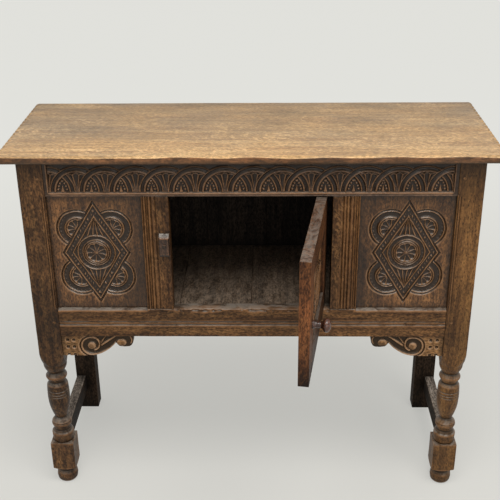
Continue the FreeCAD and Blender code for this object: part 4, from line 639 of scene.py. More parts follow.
def slab(name, node, heights, gap, wood, body="case", low=None, high=None, arris=1.2, seed=1,
         wobble=0.25, place=None, outline=None, grime_and_shade_at=None, bright=None, depth_shade=(0.7, 3.0, 0.85)):
    """A member whose front face is worked. `heights(x, z)` is in millimetres outward from
    the face, `outline` moves the grid's points to a shaped edge, the grime-and-shade
    function of (x, z) adds grime and painted shade to that of the depths and `bright(x, z)`
    wear, or a painted highlight, to that of the crests, and `place` turns the points of the
    open door's parts. The depth-shade numbers are the depth at which grime and painted shade
    start, how much further they are at their most, and that most."""
    if low is None:
        low, high = cad_box(node)
    xs, zs = grid_lines(low[0], high[0], gap), grid_lines(low[2], high[2], gap)
    x, z = np.meshgrid(xs, zs, indexing="ij")
    fall = rounded(x, z, (low[0], low[2]), (high[0], high[2]), arris)
    if outline:
        x, z = outline(x, z)
    relief = heights(x, z)
    out = np.minimum(relief + ripple(x, z, seed) * wobble - fall, 0)
    front = np.stack((x, low[1] - out, z), -1)
    back = np.stack((border(x), np.full(len(border(x)), high[1]), border(z)), -1)
    points, faces = closed_skin(front, [back])
    points[:, 1] += FRONT
    if place is not None:
        points = place(points)
    lift = unit(0.5 + (relief - blurred(relief, LIFT_CELLS)) * 0.34)
    if bright:
        lift = np.maximum(lift, bright(x, z))
    # Grime and painted shade in the depths of the carving.
    grime_and_shade = unit((-relief - depth_shade[0]) / depth_shade[1]) * depth_shade[2]
    if grime_and_shade_at:
        grime_and_shade = np.maximum(grime_and_shade, grime_and_shade_at(x, z))
    return add_part(name, points, faces, wood, body, [node], lift, grime_and_shade)


def turned_skin(radius):
    """Faces round a turned piece: `radius` has the turns along its first axis."""
    count, rows = radius.shape
    index = np.arange(count * rows).reshape(count, rows)
    after = np.roll(index, -1, axis=0)
    corners = (index[:, :-1], after[:, :-1], after[:, 1:], index[:, 1:])
    faces = np.stack([corner.ravel() for corner in corners], -1).tolist()
    faces.append(index[::-1, 0].tolist())
    faces.append(index[:, -1].tolist())
    return faces


print("mesh helpers ready")

# %% [markdown]
# ## The lunettes on the top rail
# A lunette is a half circle cut with a gouge, and a row of them, each passing over the
# one to its right's left foot and under the next, was the carver's stock pattern for a
# rail. Set out with dividers and cut by eye, the steps differ by a millimetre or two,
# which the feet below keep. Each arch is a hollow band between two crests. Inside it,
# the arch behind shows again, and cuts off a pointed leaf with beads and a small
# triangle; beyond it, a fan of gouge flutes rises from the foot.

# %% Top rail with lunettes
FEET = (-489.5, -428, -366, -301, -236, -174, -111, -48, 11, 72, 133, 192, 258, 316, 376)
OUTER, INNER, GROUND = 57.5, 46.7, -5.0
FOOT_GAP = 61.4
BEAD_RING, BEAD_SIZE = 6.2, 2.3
FLUTES_EACH, FLUTE_REACH = 20, 37
LOWER_SCRATCH = 778.6
BAND = (785.0, 847.0, 431.0)
POST, POST_INNER = 56.0, 441.0


def crest(distance, width=1.8, top=-0.1, ground=GROUND):
    """A rounded ridge at distance 0, falling to the ground on both sides."""
    return ground + (top - ground) * np.exp(-np.abs(distance / width) ** 2.2)


def beads(x, z, centre, radius, turns, size):
    """Small round beads along a circle: how high each stands over the ground."""
    rise = np.zeros(x.shape)
    for turn in turns:
        away = np.hypot(x - centre - radius * math.cos(turn), z - radius * math.sin(turn))
        rise = np.maximum(rise, np.sqrt(np.maximum(size * size - away * away, 0)))
    return rise


def lunette_row(x, z):
    """Heights of the arches, each over the one to its left, with leaf and fan inside."""
    z = z - BAND[0]
    x, z = x + 0.5 * ripple(x, z, 7, 30), z + 0.4 * ripple(x, z, 8, 26)
    height = np.full(x.shape, GROUND)
    for number, foot in enumerate(FEET):
        centre = foot + OUTER
        before = (FEET[number - 1] if number else foot - FOOT_GAP) + OUTER
        away = np.hypot(x - centre, z)
        from_before = np.hypot(x - before, z)
        inside = away < INNER
        behind = np.maximum(crest(from_before - OUTER, top=-0.8), crest(from_before - INNER, top=-0.8))
        height = np.where(inside, behind, height)
        leaf = inside & (from_before < INNER - 2)
        rows = np.maximum(
            beads(x, z, centre, INNER - BEAD_RING, np.radians([171, 161, 151, 141.5]), BEAD_SIZE),
            beads(x, z, before, INNER - BEAD_RING, np.radians([9, 19, 29, 38.5]), BEAD_SIZE))
        middle = (centre + before) / 2
        wedge = np.clip(6.2 - np.abs(x - middle) * 1.25 - z * 0.36, 0, 1.9)
        height = np.where(leaf, np.maximum(height, GROUND + np.maximum(rows * 1.7, wedge * 1.9)),
                          height)
        turn = np.degrees(np.arctan2(x - centre, np.maximum(z, 0.01)))
        part = (turn + 30) / FLUTES_EACH % 1
        flute = -0.8 - 3.8 * np.sin(np.pi * part) ** 0.7 * np.clip(away / 24, 0.25, 1)
        tip = FLUTE_REACH + 4.5 * np.sqrt(np.sin(np.pi * part))
        flute = np.where(away > tip, -1.6, flute)
        flute = np.where(away > tip + 2.6, GROUND, flute)
        fan = inside & (from_before > OUTER + 2)
        height = np.where(fan, np.maximum(height, flute), height)
        share = unit((away - INNER) / (OUTER - INNER))
        sink = 0.9 * unit((x - centre - 8) / 30)
        hollow = -0.7 - 3.9 * np.sin(np.pi * share ** 1.5) ** 0.9 - sink
        band = (away >= INNER) & (away <= OUTER)
        height = np.where(band, hollow, height)
        rim = np.maximum(crest(away - OUTER, 1.5), crest(away - INNER, 2.3)) - sink
        rim = rim - 0.5 * unit(ripple(x, z, 9, 14))
        height = np.maximum(height, np.where(away > INNER - 3, rim, GROUND))
    return height


def top_rail_face(x, z):
    carved = lunette_row(x, z)
    low, high, side = BAND
    away = np.minimum(np.minimum(z - low, high - z), side - np.abs(x))
    wall = unit(-away / 1.1)
    inside = away > 0
    face = np.where(inside, carved, GROUND - wall * GROUND)
    scratch = -1.0 * bell(z - LOWER_SCRATCH, 0.7)
    return blurred(np.minimum(face + np.where(inside, 0, scratch), 0), 1)


def rail_shade(x, z):
    """Painted shade at the rail's ends, against the posts, and a painted shadow of the top on the
    strip right under it.
    """
    ends = 0.75 * unit((np.abs(x) - BAND[2] + 3) / 3)
    return np.maximum(ends, 0.7 * unit((z - 832) / 12))


low, high = cad_box("front_top_rail")
shoulder = cad_box("front_right_leg")[1][0] - POST
low[0], high[0] = -shoulder, shoulder
rail = slab("carved_top_rail", "front_top_rail", top_rail_face, 0.75, woods["carved_x"],
            low=low, high=high, seed=11, wobble=0.15, depth_shade=(0.7, 2.6, 0.96), grime_and_shade_at=rail_shade)
print("top rail:", len(rail.data.vertices), "points,", len(FEET) - 1, "lunettes")

# %% [markdown]
# ## Lozenge panels
# Each panel has a lozenge with a round flower at its heart, and four wheels that look
# out from behind the lozenge's sides. The carver worked from the front to the back:
# first the flower, then the lozenge's border with its row of nicks, then what is left
# of the wheels. The heights follow the other way about, each shape laid over the one
# behind it, and the plain ground keeps the straight grain of the cleft oak board.

# %% Panel carving
JAMB, MUNTIN_OUTER, SILL = 176.5, 236.5, 500.0
PANEL_MIDDLE, OPENING_TOP = 637.5, 775.0
LOZENGE, WHEELS, WHEEL_EDGE = (71, 118), (38.0, 58.0), 42.6
RING, RIM_RING, NICK_RING, HUB = 26, 41.2, 36.5, 3.9
OUTLINE_DEPTH = -3.6
SHADY = {-1: (-244, 560, 38, 110), 1: (244, 540, 44, 90)}


def hollow_ring(away, low, high, depth=3.4):
    """A gouged band between two radii, and nothing outside them."""
    share = unit((away - low) / (high - low))
    return -1.9 - (depth - 1.2) * np.sin(np.pi * share) ** 0.6


def wheel(away, turn, petals, rim, hub):
    """Petals cut as pointed hollows round a bead, with rounded outer ends."""
    part = np.sin(np.pi * ((turn / (2 * math.pi) * petals) % 1))
    petal = -0.3 - 3.9 * part ** 0.32 * np.clip(away / rim * 1.7, 0.2, 1)
    end = rim * (0.80 + 0.15 * np.sqrt(part))
    slope = unit((away - end) / (rim * 0.16) + 1)
    petal = np.where(away > end, -0.8, petal + (-0.8 - petal) * slope ** 2)
    bead = -1.8 + 1.8 * np.sqrt(unit(1 - (away / hub) ** 2))
    return np.where(away < hub, bead, petal)


def rosette(away, turn, petals, rim):
    """A wheel inside two rings, a hollow band and an outer ridge."""
    height = np.where(away < rim, wheel(away, turn, petals, rim, HUB), -3.2)
    height = np.maximum(height, crest(away - RING, 1.2, -0.2, -3.6))
    band = (away > RING) & (away < RIM_RING)
    nicks = 1.6 * unit(np.cos(turn * 25)) * bell(away - NICK_RING, 2.2)
    height = np.where(band, np.maximum(crest(away - RING, 1.2, -0.2, -3.8),
                                       hollow_ring(away, 28.0, 40.6, 3.9) + nicks), height)
    return np.maximum(height, crest(away - RIM_RING, 1.5, -0.1, -3.8))


def lozenge_panel(x, z, centre, scale=1.0, seed=5):
    """Heights of a panel: the wheels, the lozenge over them, and the roundel on top."""
    u, v = (x - centre[0]) / scale, (z - centre[1]) / scale
    u, v = u + 0.5 * ripple(u, v, seed, 40), v + 0.5 * ripple(u, v, seed + 1, 40)
    height = np.zeros(x.shape)
    for right in (-1, 1):
        for up in (-1, 1):
            a, b = u - WHEELS[0] * right, v - WHEELS[1] * up
            away, turn = np.hypot(a, b), np.arctan2(b, a * right) + 0.2
            ring = rosette(away, turn, 10, 23.0)
            outline = OUTLINE_DEPTH * bell(away - 44.2, 1.7)
            height = np.where(away < WHEEL_EDGE, ring, np.minimum(height, outline))
    share = np.abs(u) / LOZENGE[0] + np.abs(v) / LOZENGE[1]
    across = (share - 1) * 60.8
    along = (np.abs(u) / LOZENGE[0] - np.abs(v) / LOZENGE[1]) * 68.8 + 3.5 * ripple(u, v, seed + 2, 24)
    dash = unit(np.cos(along * 2 * math.pi / 8.2) + 0.4)
    dash = dash * np.clip(0.6 + 0.9 * ripple(u, v, seed + 3, 16), 0, 1.3)
    stripe = np.exp(-((across + 8.8 + 0.8 * ripple(u, v, seed + 6, 15)) / 3.4) ** 4)
    border = -3.7 + 1.9 * dash * stripe
    border = np.maximum(border, crest(across + 1.6, 1.7, -0.1, -3.7))
    border = np.maximum(border, crest(across + 16.2, 1.6, -0.3, -3.7))
    turned = np.degrees(np.arctan2(u, 88 - np.abs(v)))
    leaf = np.sin(np.pi * ((turned / 13 + 0.5) % 1))
    fan = -3.9 + 3.0 * (1 - leaf) ** 1.2 + 1.6 * np.exp(-((np.abs(v) - 56) / 5) ** 2) * leaf
    inner = np.where(np.abs(v) > 40, fan, -3.4)
    outline = OUTLINE_DEPTH * bell(across - 1.9, 1.7)
    height = np.where(share < 1.012, np.where(across < -17.4, inner, border),
                      np.minimum(height, np.where(across < 4.5, outline, 0)))
    away, turn = np.hypot(u, v), np.arctan2(v, u) + 0.3
    roundel = rosette(away, turn, 9, 23.5)
    roundel = np.maximum(roundel, crest(away - 30.8, 1.1, -0.3, -4.6))
    return np.where(away < WHEEL_EDGE, roundel, height)


def make_panel(name, node, middle, seed, shady):
    low, high = cad_box(node)
    centre = (middle, PANEL_MIDDLE)

    def face(x, z):
        return blurred(lozenge_panel(x, z, centre, seed=seed), 1)

    def grime_and_shade_at(x, z):
        # Painted shade along the frame round the panel, and a darker patch low beside the muntin.
        side = np.minimum(POST_INNER - np.abs(x), np.abs(x) - MUNTIN_OUTER)
        near = np.minimum(side, np.minimum(z - SILL, OPENING_TOP - z))
        rim = 0.75 * unit(1 - near / 16) ** 1.3
        spot = np.exp(-((x - shady[0]) / shady[2]) ** 2 - ((z - shady[1]) / shady[3]) ** 2)
        return np.maximum(rim, 0.62 * spot) + 0.05 * ripple(x, z, seed + 4, 50)

    return slab(name, node, face, 0.75, woods["panel_z"], low=low, high=high, seed=seed,
                wobble=0.3, grime_and_shade_at=grime_and_shade_at, depth_shade=(0.35, 1.9, 0.96))


for side_name, side, seed in (("left", -1, 21), ("right", 1, 22)):
    low, high = cad_box(side_name + "_front_panel")
    panel = make_panel(side_name + "_carved_panel", side_name + "_front_panel",
                       (low[0] + high[0]) / 2 + 3.6 * side, seed, SHADY[side])
    print(panel.name, len(panel.data.vertices), "points")

# %% [markdown]
# ## Turned from a square post
# A front leg is one length of oak. The turner leaves it square where the rails are
# jointed into it, and turns only the rest, so that the corners of the square run out in
# curves where the two meet. The mesh does the same: at each height it takes the square
# or the turned radius, whichever is smaller, and the curves where they meet come by
# themselves. A lathe modifier would give the rings, but not those corners. The necks
# between the rings are darkened, black polish and dust with painted shade, and the
# crests lightened, wear with a painted highlight.

# %% Front legs
CASE_HALF = 497.0
BLOCK = (48.0, 121.0)
TURNING_TOP = 386.0
STEM = ((0, .87), (.012, .90), (.084, .945), (.096, .925), (.104, .82), (.118, .76), (.132, .70),
        (.158, .77), (.182, .86), (.196, .865), (.203, .805), (.212, .835), (.232, .69),
        (.257, .50, .08), (.438, .925, .035), (.612, .885), (.645, .68), (.668, .79), (.692, .90),
        (.706, .90), (.726, .78), (.747, .665, .10), (.838, .985, .05), (1.0, 1.43))
FOOT = ((0, .66), (.03, .76), (.10, .86), (.30, .92), (.50, .88), (.68, .70), (.84, .80),
        (1, 1.43))
SCORES, SCORE_WIDTH = (269.0, 261.0, 254.0), 1.1
CASE_FOOT = 480
BESIDE_PANEL, BESIDE_LINES = (503, 772), (3.6, 8.2)
LEG_TURNS = 52


def turned_line(shares, low, high, across, step_size=0.25):
    """Radius at each height, from shares with an optional swell between two points."""
    heights, radii = [], []
    for one, two in zip(shares, shares[1:]):
        part = np.linspace(0, 1, max(2, int((two[0] - one[0]) * (high - low) / step_size)))
        swell = one[2] if len(one) > 2 else 0.0
        heights.append(low + (one[0] + (two[0] - one[0]) * part) * (high - low))
        radii.append((one[1] + (two[1] - one[1]) * part + swell * 4 * part * (1 - part)) * across)
    return np.concatenate(heights), np.concatenate(radii)


def softened(values, cells):
    kernel = np.hanning(2 * cells + 3)[1:-1]
    return np.convolve(np.pad(values, cells, mode="edge"), kernel / kernel.sum(), "valid")


def square_radius(turn, half, corner):
    """Distance from the middle of a square to its side, with rounded corners."""
    a, b = np.abs(np.cos(turn)), np.abs(np.sin(turn))
    flat = half / np.maximum(a, b)
    inner = half - corner
    under = corner ** 2 - (inner * (a - b)) ** 2
    arc = inner * (a + b) + np.sqrt(np.maximum(under, 0))
    return np.where(under > 0, np.minimum(flat, arc), flat)


def corner_turns(count):
    """Turns round a square post, closer together near its corners."""
    part = np.linspace(-1, 1, count, endpoint=False)
    part = np.sign(part) * (1 - (1 - np.abs(part)) ** 1.7)
    quarter = np.degrees(np.arctan(part))
    return np.radians(np.concatenate([quarter + 90 * number for number in range(4)]))


def leg_heights():
    rows = [np.arange(0, BLOCK[0], 0.9), np.arange(BLOCK[0], BLOCK[1], 3.5),
            [BLOCK[1] - 1.6, BLOCK[1] - 0.8, BLOCK[1] - 0.25, BLOCK[1]],
            np.arange(BLOCK[1] + 0.2, TURNING_TOP + 6, 1.0), np.arange(250, 273, 0.4),
            np.arange(TURNING_TOP + 8, 500, 3.0),
            np.arange(500, 775, 4.0), np.arange(775, 855, 4.0), [854.0, 855.0]]
    return np.unique(np.round(np.concatenate(rows), 3))


def make_front_leg(side_name, side, seed):
    """A square post with its turned stem and foot, in one skin round its height."""
    middle = (CASE_HALF - POST / 2) * side
    turns, heights = corner_turns(LEG_TURNS), leg_heights()
    stem_z, stem_r = turned_line(STEM, BLOCK[1], TURNING_TOP, POST / 2)
    foot_z, foot_r = turned_line(FOOT, 0, BLOCK[0], POST / 2)
    stem_r, foot_r = softened(stem_r, 3), softened(foot_r, 3)
    radius = np.full(heights.shape, POST)
    stem = (heights > BLOCK[1]) & (heights < TURNING_TOP)
    radius[stem] = np.interp(heights[stem], stem_z, stem_r)
    foot = heights < BLOCK[0]
    radius[foot] = np.interp(heights[foot], foot_z, foot_r)
    scored = sum(bell(heights - score, SCORE_WIDTH) for score in SCORES)
    turn, height = np.meshgrid(turns, heights, indexing="ij")
    wear = 2.0 + 0.9 * ripple(height, turn * 40, seed, 70)
    square = square_radius(turn, POST / 2, np.maximum(wear, 0.8))
    top_out = unit((heights - TURNING_TOP) / 20)
    uneven = 0.22 * ripple(height, turn * POST / 2, seed + 1, 45)
    reach = np.minimum(square, radius[None, :]) - 0.25 + np.minimum(uneven, 0.25)
    reach -= 1.3 * scored[None, :]
    across = reach * np.cos(turn)
    deep = reach * np.sin(turn)
    from_panel = POST / 2 + across * side
    past = np.maximum(np.maximum(BESIDE_PANEL[0] - height, height - BESIDE_PANEL[1]), 0)
    beside = bell(past, 2.5)
    front = (deep < -POST / 2 + 3.5) & (height > CASE_FOOT)
    lines = sum(bell(from_panel - place, 1.0) for place in BESIDE_LINES)
    deep = np.where(front, deep + 2.1 * lines * beside, deep)
    points = np.stack((middle + across, FRONT + POST / 2 + deep, height), -1)
    even = np.arange(0, 400, 0.5)
    even_r = np.minimum(np.interp(even, heights, radius), POST / 2)
    out = even_r - np.convolve(np.pad(even_r, 12, mode="edge"), np.ones(25) / 25, "valid")
    out = np.where(heights < 396, np.interp(heights, even, out), 0)
    # Black polish and painted shade in the necks and scored lines, and a painted shadow in the lines
    # beside the panel.
    grime_and_shade = unit((-out - 0.1) / 0.7) + 0.95 * scored
    grime_and_shade = np.repeat(np.clip(grime_and_shade, 0, 0.98)[None, :], len(turns), axis=0)
    grime_and_shade = np.maximum(grime_and_shade, np.where(front, 0.9 * lines * beside, 0))
    # Crests lighter: wear with a painted highlight, and a painted highlight on the strip beside the
    # panel.
    lift = np.repeat(np.clip(0.5 + out * 0.3, 0, 0.8)[None, :], len(turns), axis=0)
    strip = 0.5 + 0.26 * bell(from_panel - 5.9, 1.5) * beside
    lift = np.maximum(lift, np.where(front, strip, 0))
    faces = turned_skin(points[..., 0])
    wood = woods["post_z" if side < 0 else "right_post_z"]
    return add_part("turned_" + side_name + "_leg", points.reshape(-1, 3), faces, wood, "case",
                    ["front_" + side_name + "_leg"], lift, grime_and_shade)


for side_name, side, seed in (("left", -1, 31), ("right", 1, 33)):
    leg = make_front_leg(side_name, side, seed)
    print(leg.name, len(leg.data.vertices), "points")

# %% [markdown]
# ## Scroll brackets
# Under the bottom rail a bracket runs from each post: a block punched with a blunt nail,
# a scroll that rolls up round a raised eye, a stem, and a small scroll at the tip. The
# lower edge is sawn to the drawing, so the grid's rows are squeezed between the straight
# top and that edge, and the ridges of the scroll are laid over it as heights.

# %% Brackets
BRACKET = (168.0, 54.0)
SCROLL = (69.0, 28.4)
TIP_EYE = (139.0, 19.5)
EYE, TIP_SIZE = 10.0, 9.4
BRACKET_GROUND = -6.0
SCROLL_RING, BLOCK_RING = 23.1, 26.6
PUNCHES_ALONG, PUNCHES_DOWN, PUNCH = (14.0, 28.5), (11.5, 30.0, 51.5), 4.4
EDGE = ((69, 54.6), (80, 53.0), (91, 49.0), (101, 43.2), (111, 36.0), (119, 28.4), (125, 21.6),
        (129, 27.5), (133, 31.4), (145, 32.8), (156, 32.0), (161, 28.8), (165, 21.5), (167, 12.0),
        (168, 3.0))


def bracket_depth(u):
    """How far the sawn lower edge lies below the rail, along the bracket."""
    block = 55.8 - 0.5 * np.sin(u / 9)
    stem = np.interp(u, [point[0] for point in EDGE], [point[1] for point in EDGE])
    return np.where(u < SCROLL[0], np.maximum(block - np.clip(u - 40, 0, 30) * 0.03, 54.6), stem)


def ridge(distance, width, top, ground):
    """A rounded ridge over sunk ground."""
    return ground + (top - ground) * np.exp(-np.abs(distance / width) ** 2.4)


def between(value, low, high, soft=3.0):
    """1 between two places, falling to 0 outside them."""
    return unit(np.minimum(value - low, high - value) / soft + 1)


def stroke(distance, width, top, kept):
    """A ridge along one line of the drawing, sunk out of sight where `kept` is 0."""
    return ridge(distance, width, top, BRACKET_GROUND) - (1 - kept) * 6


def star_punch(u, v, at, size):
    """A hole from a blunt four-sided punch, with a small lifted rim."""
    spot = np.maximum(np.abs(u - at[0]), np.abs(v - at[1])) + 0.4 * np.hypot(u - at[0], v - at[1])
    return -5.5 * unit(1.25 - spot / size) ** 0.8


def bracket_relief(u, v):
    """Heights of a bracket, `u` from the post and `v` down from the rail."""
    away = np.hypot(u - SCROLL[0], v - SCROLL[1])
    turn = np.degrees(np.arctan2(SCROLL[1] - v, u - SCROLL[0]))
    wrap = 12.0 + 12.4 * unit((turn + 62) / 132) ** 1.1
    line = (v - (26.5 - (u - 91) * 0.72)) * 0.81
    leaf = ((v - 18.0) + (u - 92) * 1.45) * 0.57
    eye = -0.1 - 4.6 * (1 - np.sqrt(unit(1 - (away / EYE) ** 2)))
    tip = np.hypot((u - TIP_EYE[0]) * 0.80, v - TIP_EYE[1])
    knob = -0.2 - 4.2 * (1 - np.sqrt(unit(1 - (tip / TIP_SIZE) ** 2)))
    height = np.maximum.reduce([
        stroke(away - wrap, 2.6, -0.4, between(turn, -62, 80, 14)),
        stroke(away - SCROLL_RING, 2.7, -0.1, between(turn % 360, 66, 290, 8)),
        np.where(away < EYE, eye, BRACKET_GROUND),
        stroke(bracket_depth(u) - v - 3.0, 2.3, -0.3, between(u, SCROLL[0], 124)),
        stroke(line, 3.0, -0.3, between(u, 92, 126)),
        stroke(leaf, 1.6, -1.6, between(u, 91, 104)),
        np.where(tip < TIP_SIZE, knob, BRACKET_GROUND),
        stroke(np.hypot(u - 151, v - 13) - 12, 1.7, -1.6, between(u, 160, 170))])
    block = (away > BLOCK_RING) & (u < SCROLL[0])
    holes = sum(star_punch(u, v, (across, down), PUNCH)
                for across in PUNCHES_ALONG for down in PUNCHES_DOWN)
    face = -0.5 + holes - 5.0 * bell(away - 27.0, 1.3)
    return np.maximum(np.where(block, face, height), -6.4)


def make_bracket(side_name, side, seed):
    low, high = cad_box(side_name + "_bracket")
    post = low[0] if side < 0 else high[0]

    def outline(x, z):
        u = np.abs(x - post)
        return x, high[2] - (high[2] - z) * np.clip(bracket_depth(u) / BRACKET[1], 0.05, 1)

    def face(x, z):
        return blurred(bracket_relief(np.abs(x - post), high[2] - z), 1)

    def grime_and_shade_at(x, z):
        u = np.abs(x - post)
        # Painted shade where the bracket meets the post, and a darker tip.
        near_post = 0.7 * unit(1 - u / 12)
        return np.maximum(near_post, 0.75 * unit((u - 152) / 8)) + 0 * z

    return slab("scroll_" + side_name + "_bracket", side_name + "_bracket", face, 0.8,
                woods["bracket_x"], low=low, high=high, arris=0.9, seed=seed, wobble=0.2,
                outline=outline, grime_and_shade_at=grime_and_shade_at, depth_shade=(0.8, 2.8, 0.96))


for side_name, side, seed in (("left", -1, 41), ("right", 1, 42)):
    bracket = make_bracket(side_name, side, seed)
    print(bracket.name, len(bracket.data.vertices), "points")

# %% [markdown]
# ## Bottom rail and muntins
# Plain members carry scratch mouldings: a blade filed to shape is dragged along the
# arris, so the same few lines run the whole length and fade out at the ends. Below the
# panels the rail's upper edge is bevelled to shed dust. The grid is about a millimetre
# apart, which is fine enough for such narrow lines, and old knocks are laid over as dents.

# %% Rail and muntins
GROOVES = ((467.0, 1.2, 1.9), (458.6, 1.3, 2.4))


def groove(distance, width, depth):
    """A scratched line, `depth` deep at distance 0."""
    return -depth * bell(distance, width)


def dents(a, b, seed, count, spread_a, spread_b, deepest=1.2):
    """A few shallow knocks at random places."""
    random = np.random.default_rng(seed)
    total = np.zeros(a.shape)
    for number in range(count):
        at = (random.uniform(*spread_a), random.uniform(*spread_b))
        size = (random.uniform(2, 9), random.uniform(1.2, 3.5))
        bump = np.exp(-((a - at[0]) / size[0]) ** 2 - ((b - at[1]) / size[1]) ** 2)
        total -= bump * random.uniform(0.2, 1) * deepest
    return total


def bottom_rail_face(x, z):
    side = np.abs(x)
    height = sum(groove(z - place, width, depth) for place, width, depth in GROOVES)
    height -= np.where((z > GROOVES[1][0]) & (z < GROOVES[0][0]), 0.7, 0)
    bevel = np.where((side > MUNTIN_OUTER - 1) & (side < POST_INNER), 5.2, 1.6)
    worn = bevel + 0.9 * ripple(x, z * 0, 55, 40)
    height -= np.clip(z - (SILL - worn), 0, 9) * 0.95
    height += dents(x, z, 51, 60, (-JAMB, JAMB), (495, 501), 2.4)
    height += dents(x, z, 52, 46, (-441, 441), (430, 498), 0.8)
    return height


def chipped_and_lit_sill(x, z):
    """Bare wood where the sill has been knocked, with a painted highlight on the sill and along the
    groove's lip.
    """
    chips = unit(0.62 + 0.6 * ripple(x, z * 4, 54, 30, 9))
    sill = unit((z - 495.5) / 3.5) * (np.abs(x) < JAMB)
    lip = 0.85 * bell(z - 456.0, 1.1)
    return np.maximum(0.5 + 0.5 * sill * chips, 0.5 + 0.5 * lip * chips)


def groove_wax_and_shade(x, z):
    """Black wax and painted shade in the two scratched lines."""
    return 0.9 * sum(bell(z - place, width) for place, width, depth in GROOVES)


low, high = cad_box("front_bottom_rail")
low[0], high[0] = -POST_INNER, POST_INNER
rail = slab("moulded_bottom_rail", "front_bottom_rail", bottom_rail_face, 1.1, woods["frame_x"],
            low=low, high=high, arris=1.5, seed=53, wobble=0.35, bright=chipped_and_lit_sill,
            depth_shade=(0.7, 3.0, 0.35), grime_and_shade_at=groove_wax_and_shade)
print("bottom rail:", len(rail.data.vertices), "points")

SCRATCHES = {-1: (4.6, 10.2, 14.6, 21.5, 31.0), 1: (4.4, 9.0, 14.0, 22.6, 29.5, 36.5)}


def make_muntin(side_name, side, seed):
    low, high = cad_box(side_name + "_muntin")
    low[2], high[2] = SILL, OPENING_TOP
    edge = MUNTIN_OUTER * side

    def face(x, z):
        away = np.abs(edge - x)
        height = sum(groove(away - place, 1.2, 2.4) for place in SCRATCHES[side])
        height -= np.clip(3.2 - away, 0, 4) ** 2 * 0.22
        height *= 1 + 0.25 * ripple(x, z, seed + 2, 50)
        return height + dents(z, x, seed + 1, 16, (502, 770), (low[0], high[0]), 0.8)

    return slab("scratched_" + side_name + "_muntin", side_name + "_muntin", face, 1.0,
                woods["muntin_z"], low=low, high=high, arris=1.6, seed=seed, wobble=0.35)


for side_name, side, seed in (("left", -1, 56), ("right", 1, 59)):
    muntin = make_muntin(side_name, side, seed)
    print(muntin.name, len(muntin.data.vertices), "points")

# %% [markdown]
# ## The top board
# The top is the piece that hands have used most. Its front arris has worn into a slow
# wave, its corners are rounded, and along both ends a row of small nicks was cut for
# ornament. It is one skin over a grid, like the carved members, but lying flat, and the
# sides go down in five rings, so that the edge can be rounded above and below.

# %% Top board
NICKS = 17
NICK = (9.0, 4.2)
CORNER = 10.0
TOP_PATCHES = ((-330, 150, 120, 55, 0.18), (-455, 240, 80, 70, 0.14), (60, 235, 160, 60, 0.10),
               (300, 210, 150, 60, 0.04), (-150, 60, 60, 25, 0.05))
EDGE_RINGS = ((0.22, 0.0), (0.55, 0.1), (0.80, 0.7), (0.93, 1.9), (1.0, 3.6))


def nick_share(y, low, high):
    """1 in the middle of each nick in the ends, 0 between them."""
    places = np.linspace(low[1] + 26, high[1] - 26, NICKS)
    off = np.min(np.abs(y[..., None] - places), axis=-1)
    return unit(1 - off / (NICK[0] / 2))


def top_outline(x, y, low, high):
    """Round the corners and let the front edge wander."""
    middle, half = (low[0] + high[0]) / 2, (high[0] - low[0]) / 2
    past = np.maximum(CORNER - np.minimum(y - low[1], high[1] - y), 0)
    inset = CORNER - np.sqrt(np.maximum(CORNER ** 2 - past ** 2, 0))
    near_end = unit((np.abs(x - middle) - half + 40) / 40)
    x = x - np.sign(x - middle) * inset * near_end
    wander = 1.6 + 1.5 * ripple(x, x * 0, 61, 170, 6)
    near_front = unit((low[1] + 45 - y) / 45) ** 1.5
    cut = nick_share(y, low, high) * unit((np.abs(x - middle) - half + 14) / 14)
    return x - np.sign(x - middle) * 3.4 * cut, y + wander * near_front


def top_heights(x, y, low, high):
    from_front, from_back = y - low[1], high[1] - y
    from_end = np.minimum(x - low[0], high[0] - x)
    worn = np.maximum(4.5 + 7.0 * ripple(x, x * 0, 62, 110, 7), 1.5)
    fall = (1.2 + worn * 0.32) * unit(1 - from_front / worn) ** 1.8
    fall = np.maximum(fall, 1.8 * unit(1 - from_back / 3.0) ** 2)
    fall = np.maximum(fall, 2.0 * unit(1 - from_end / 3.5) ** 2)
    notch = NICK[1] * nick_share(y, low, high) * unit(1 - from_end / 7.0)
    uneven = 0.35 * (ripple(x, y, 63, 240) - 1) + 0.12 * (ripple(x * 0.3, y, 64, 35) - 1)
    return high[2] + uneven - np.maximum(fall, notch * 1.25)


def top_shade_and_grime(x, y, low, high):
    """Painted shade towards the back of the board, and old darkness in patches, where no hand has
    rubbed it away.
    """
    back = 0.52 * unit((y - low[1] - 60) / (high[1] - low[1] - 60)) ** 0.8
    total = back + 0.03
    for across, deep, wide, long, much in TOP_PATCHES:
        spot = ((x - across) / wide) ** 2 + ((y - low[1] - deep) / long) ** 2
        total = total + much * np.exp(-spot)
    return np.clip(total * (1 + 0.5 * ripple(x * 0.5, y, 66, 70, 9)), 0, 0.8)


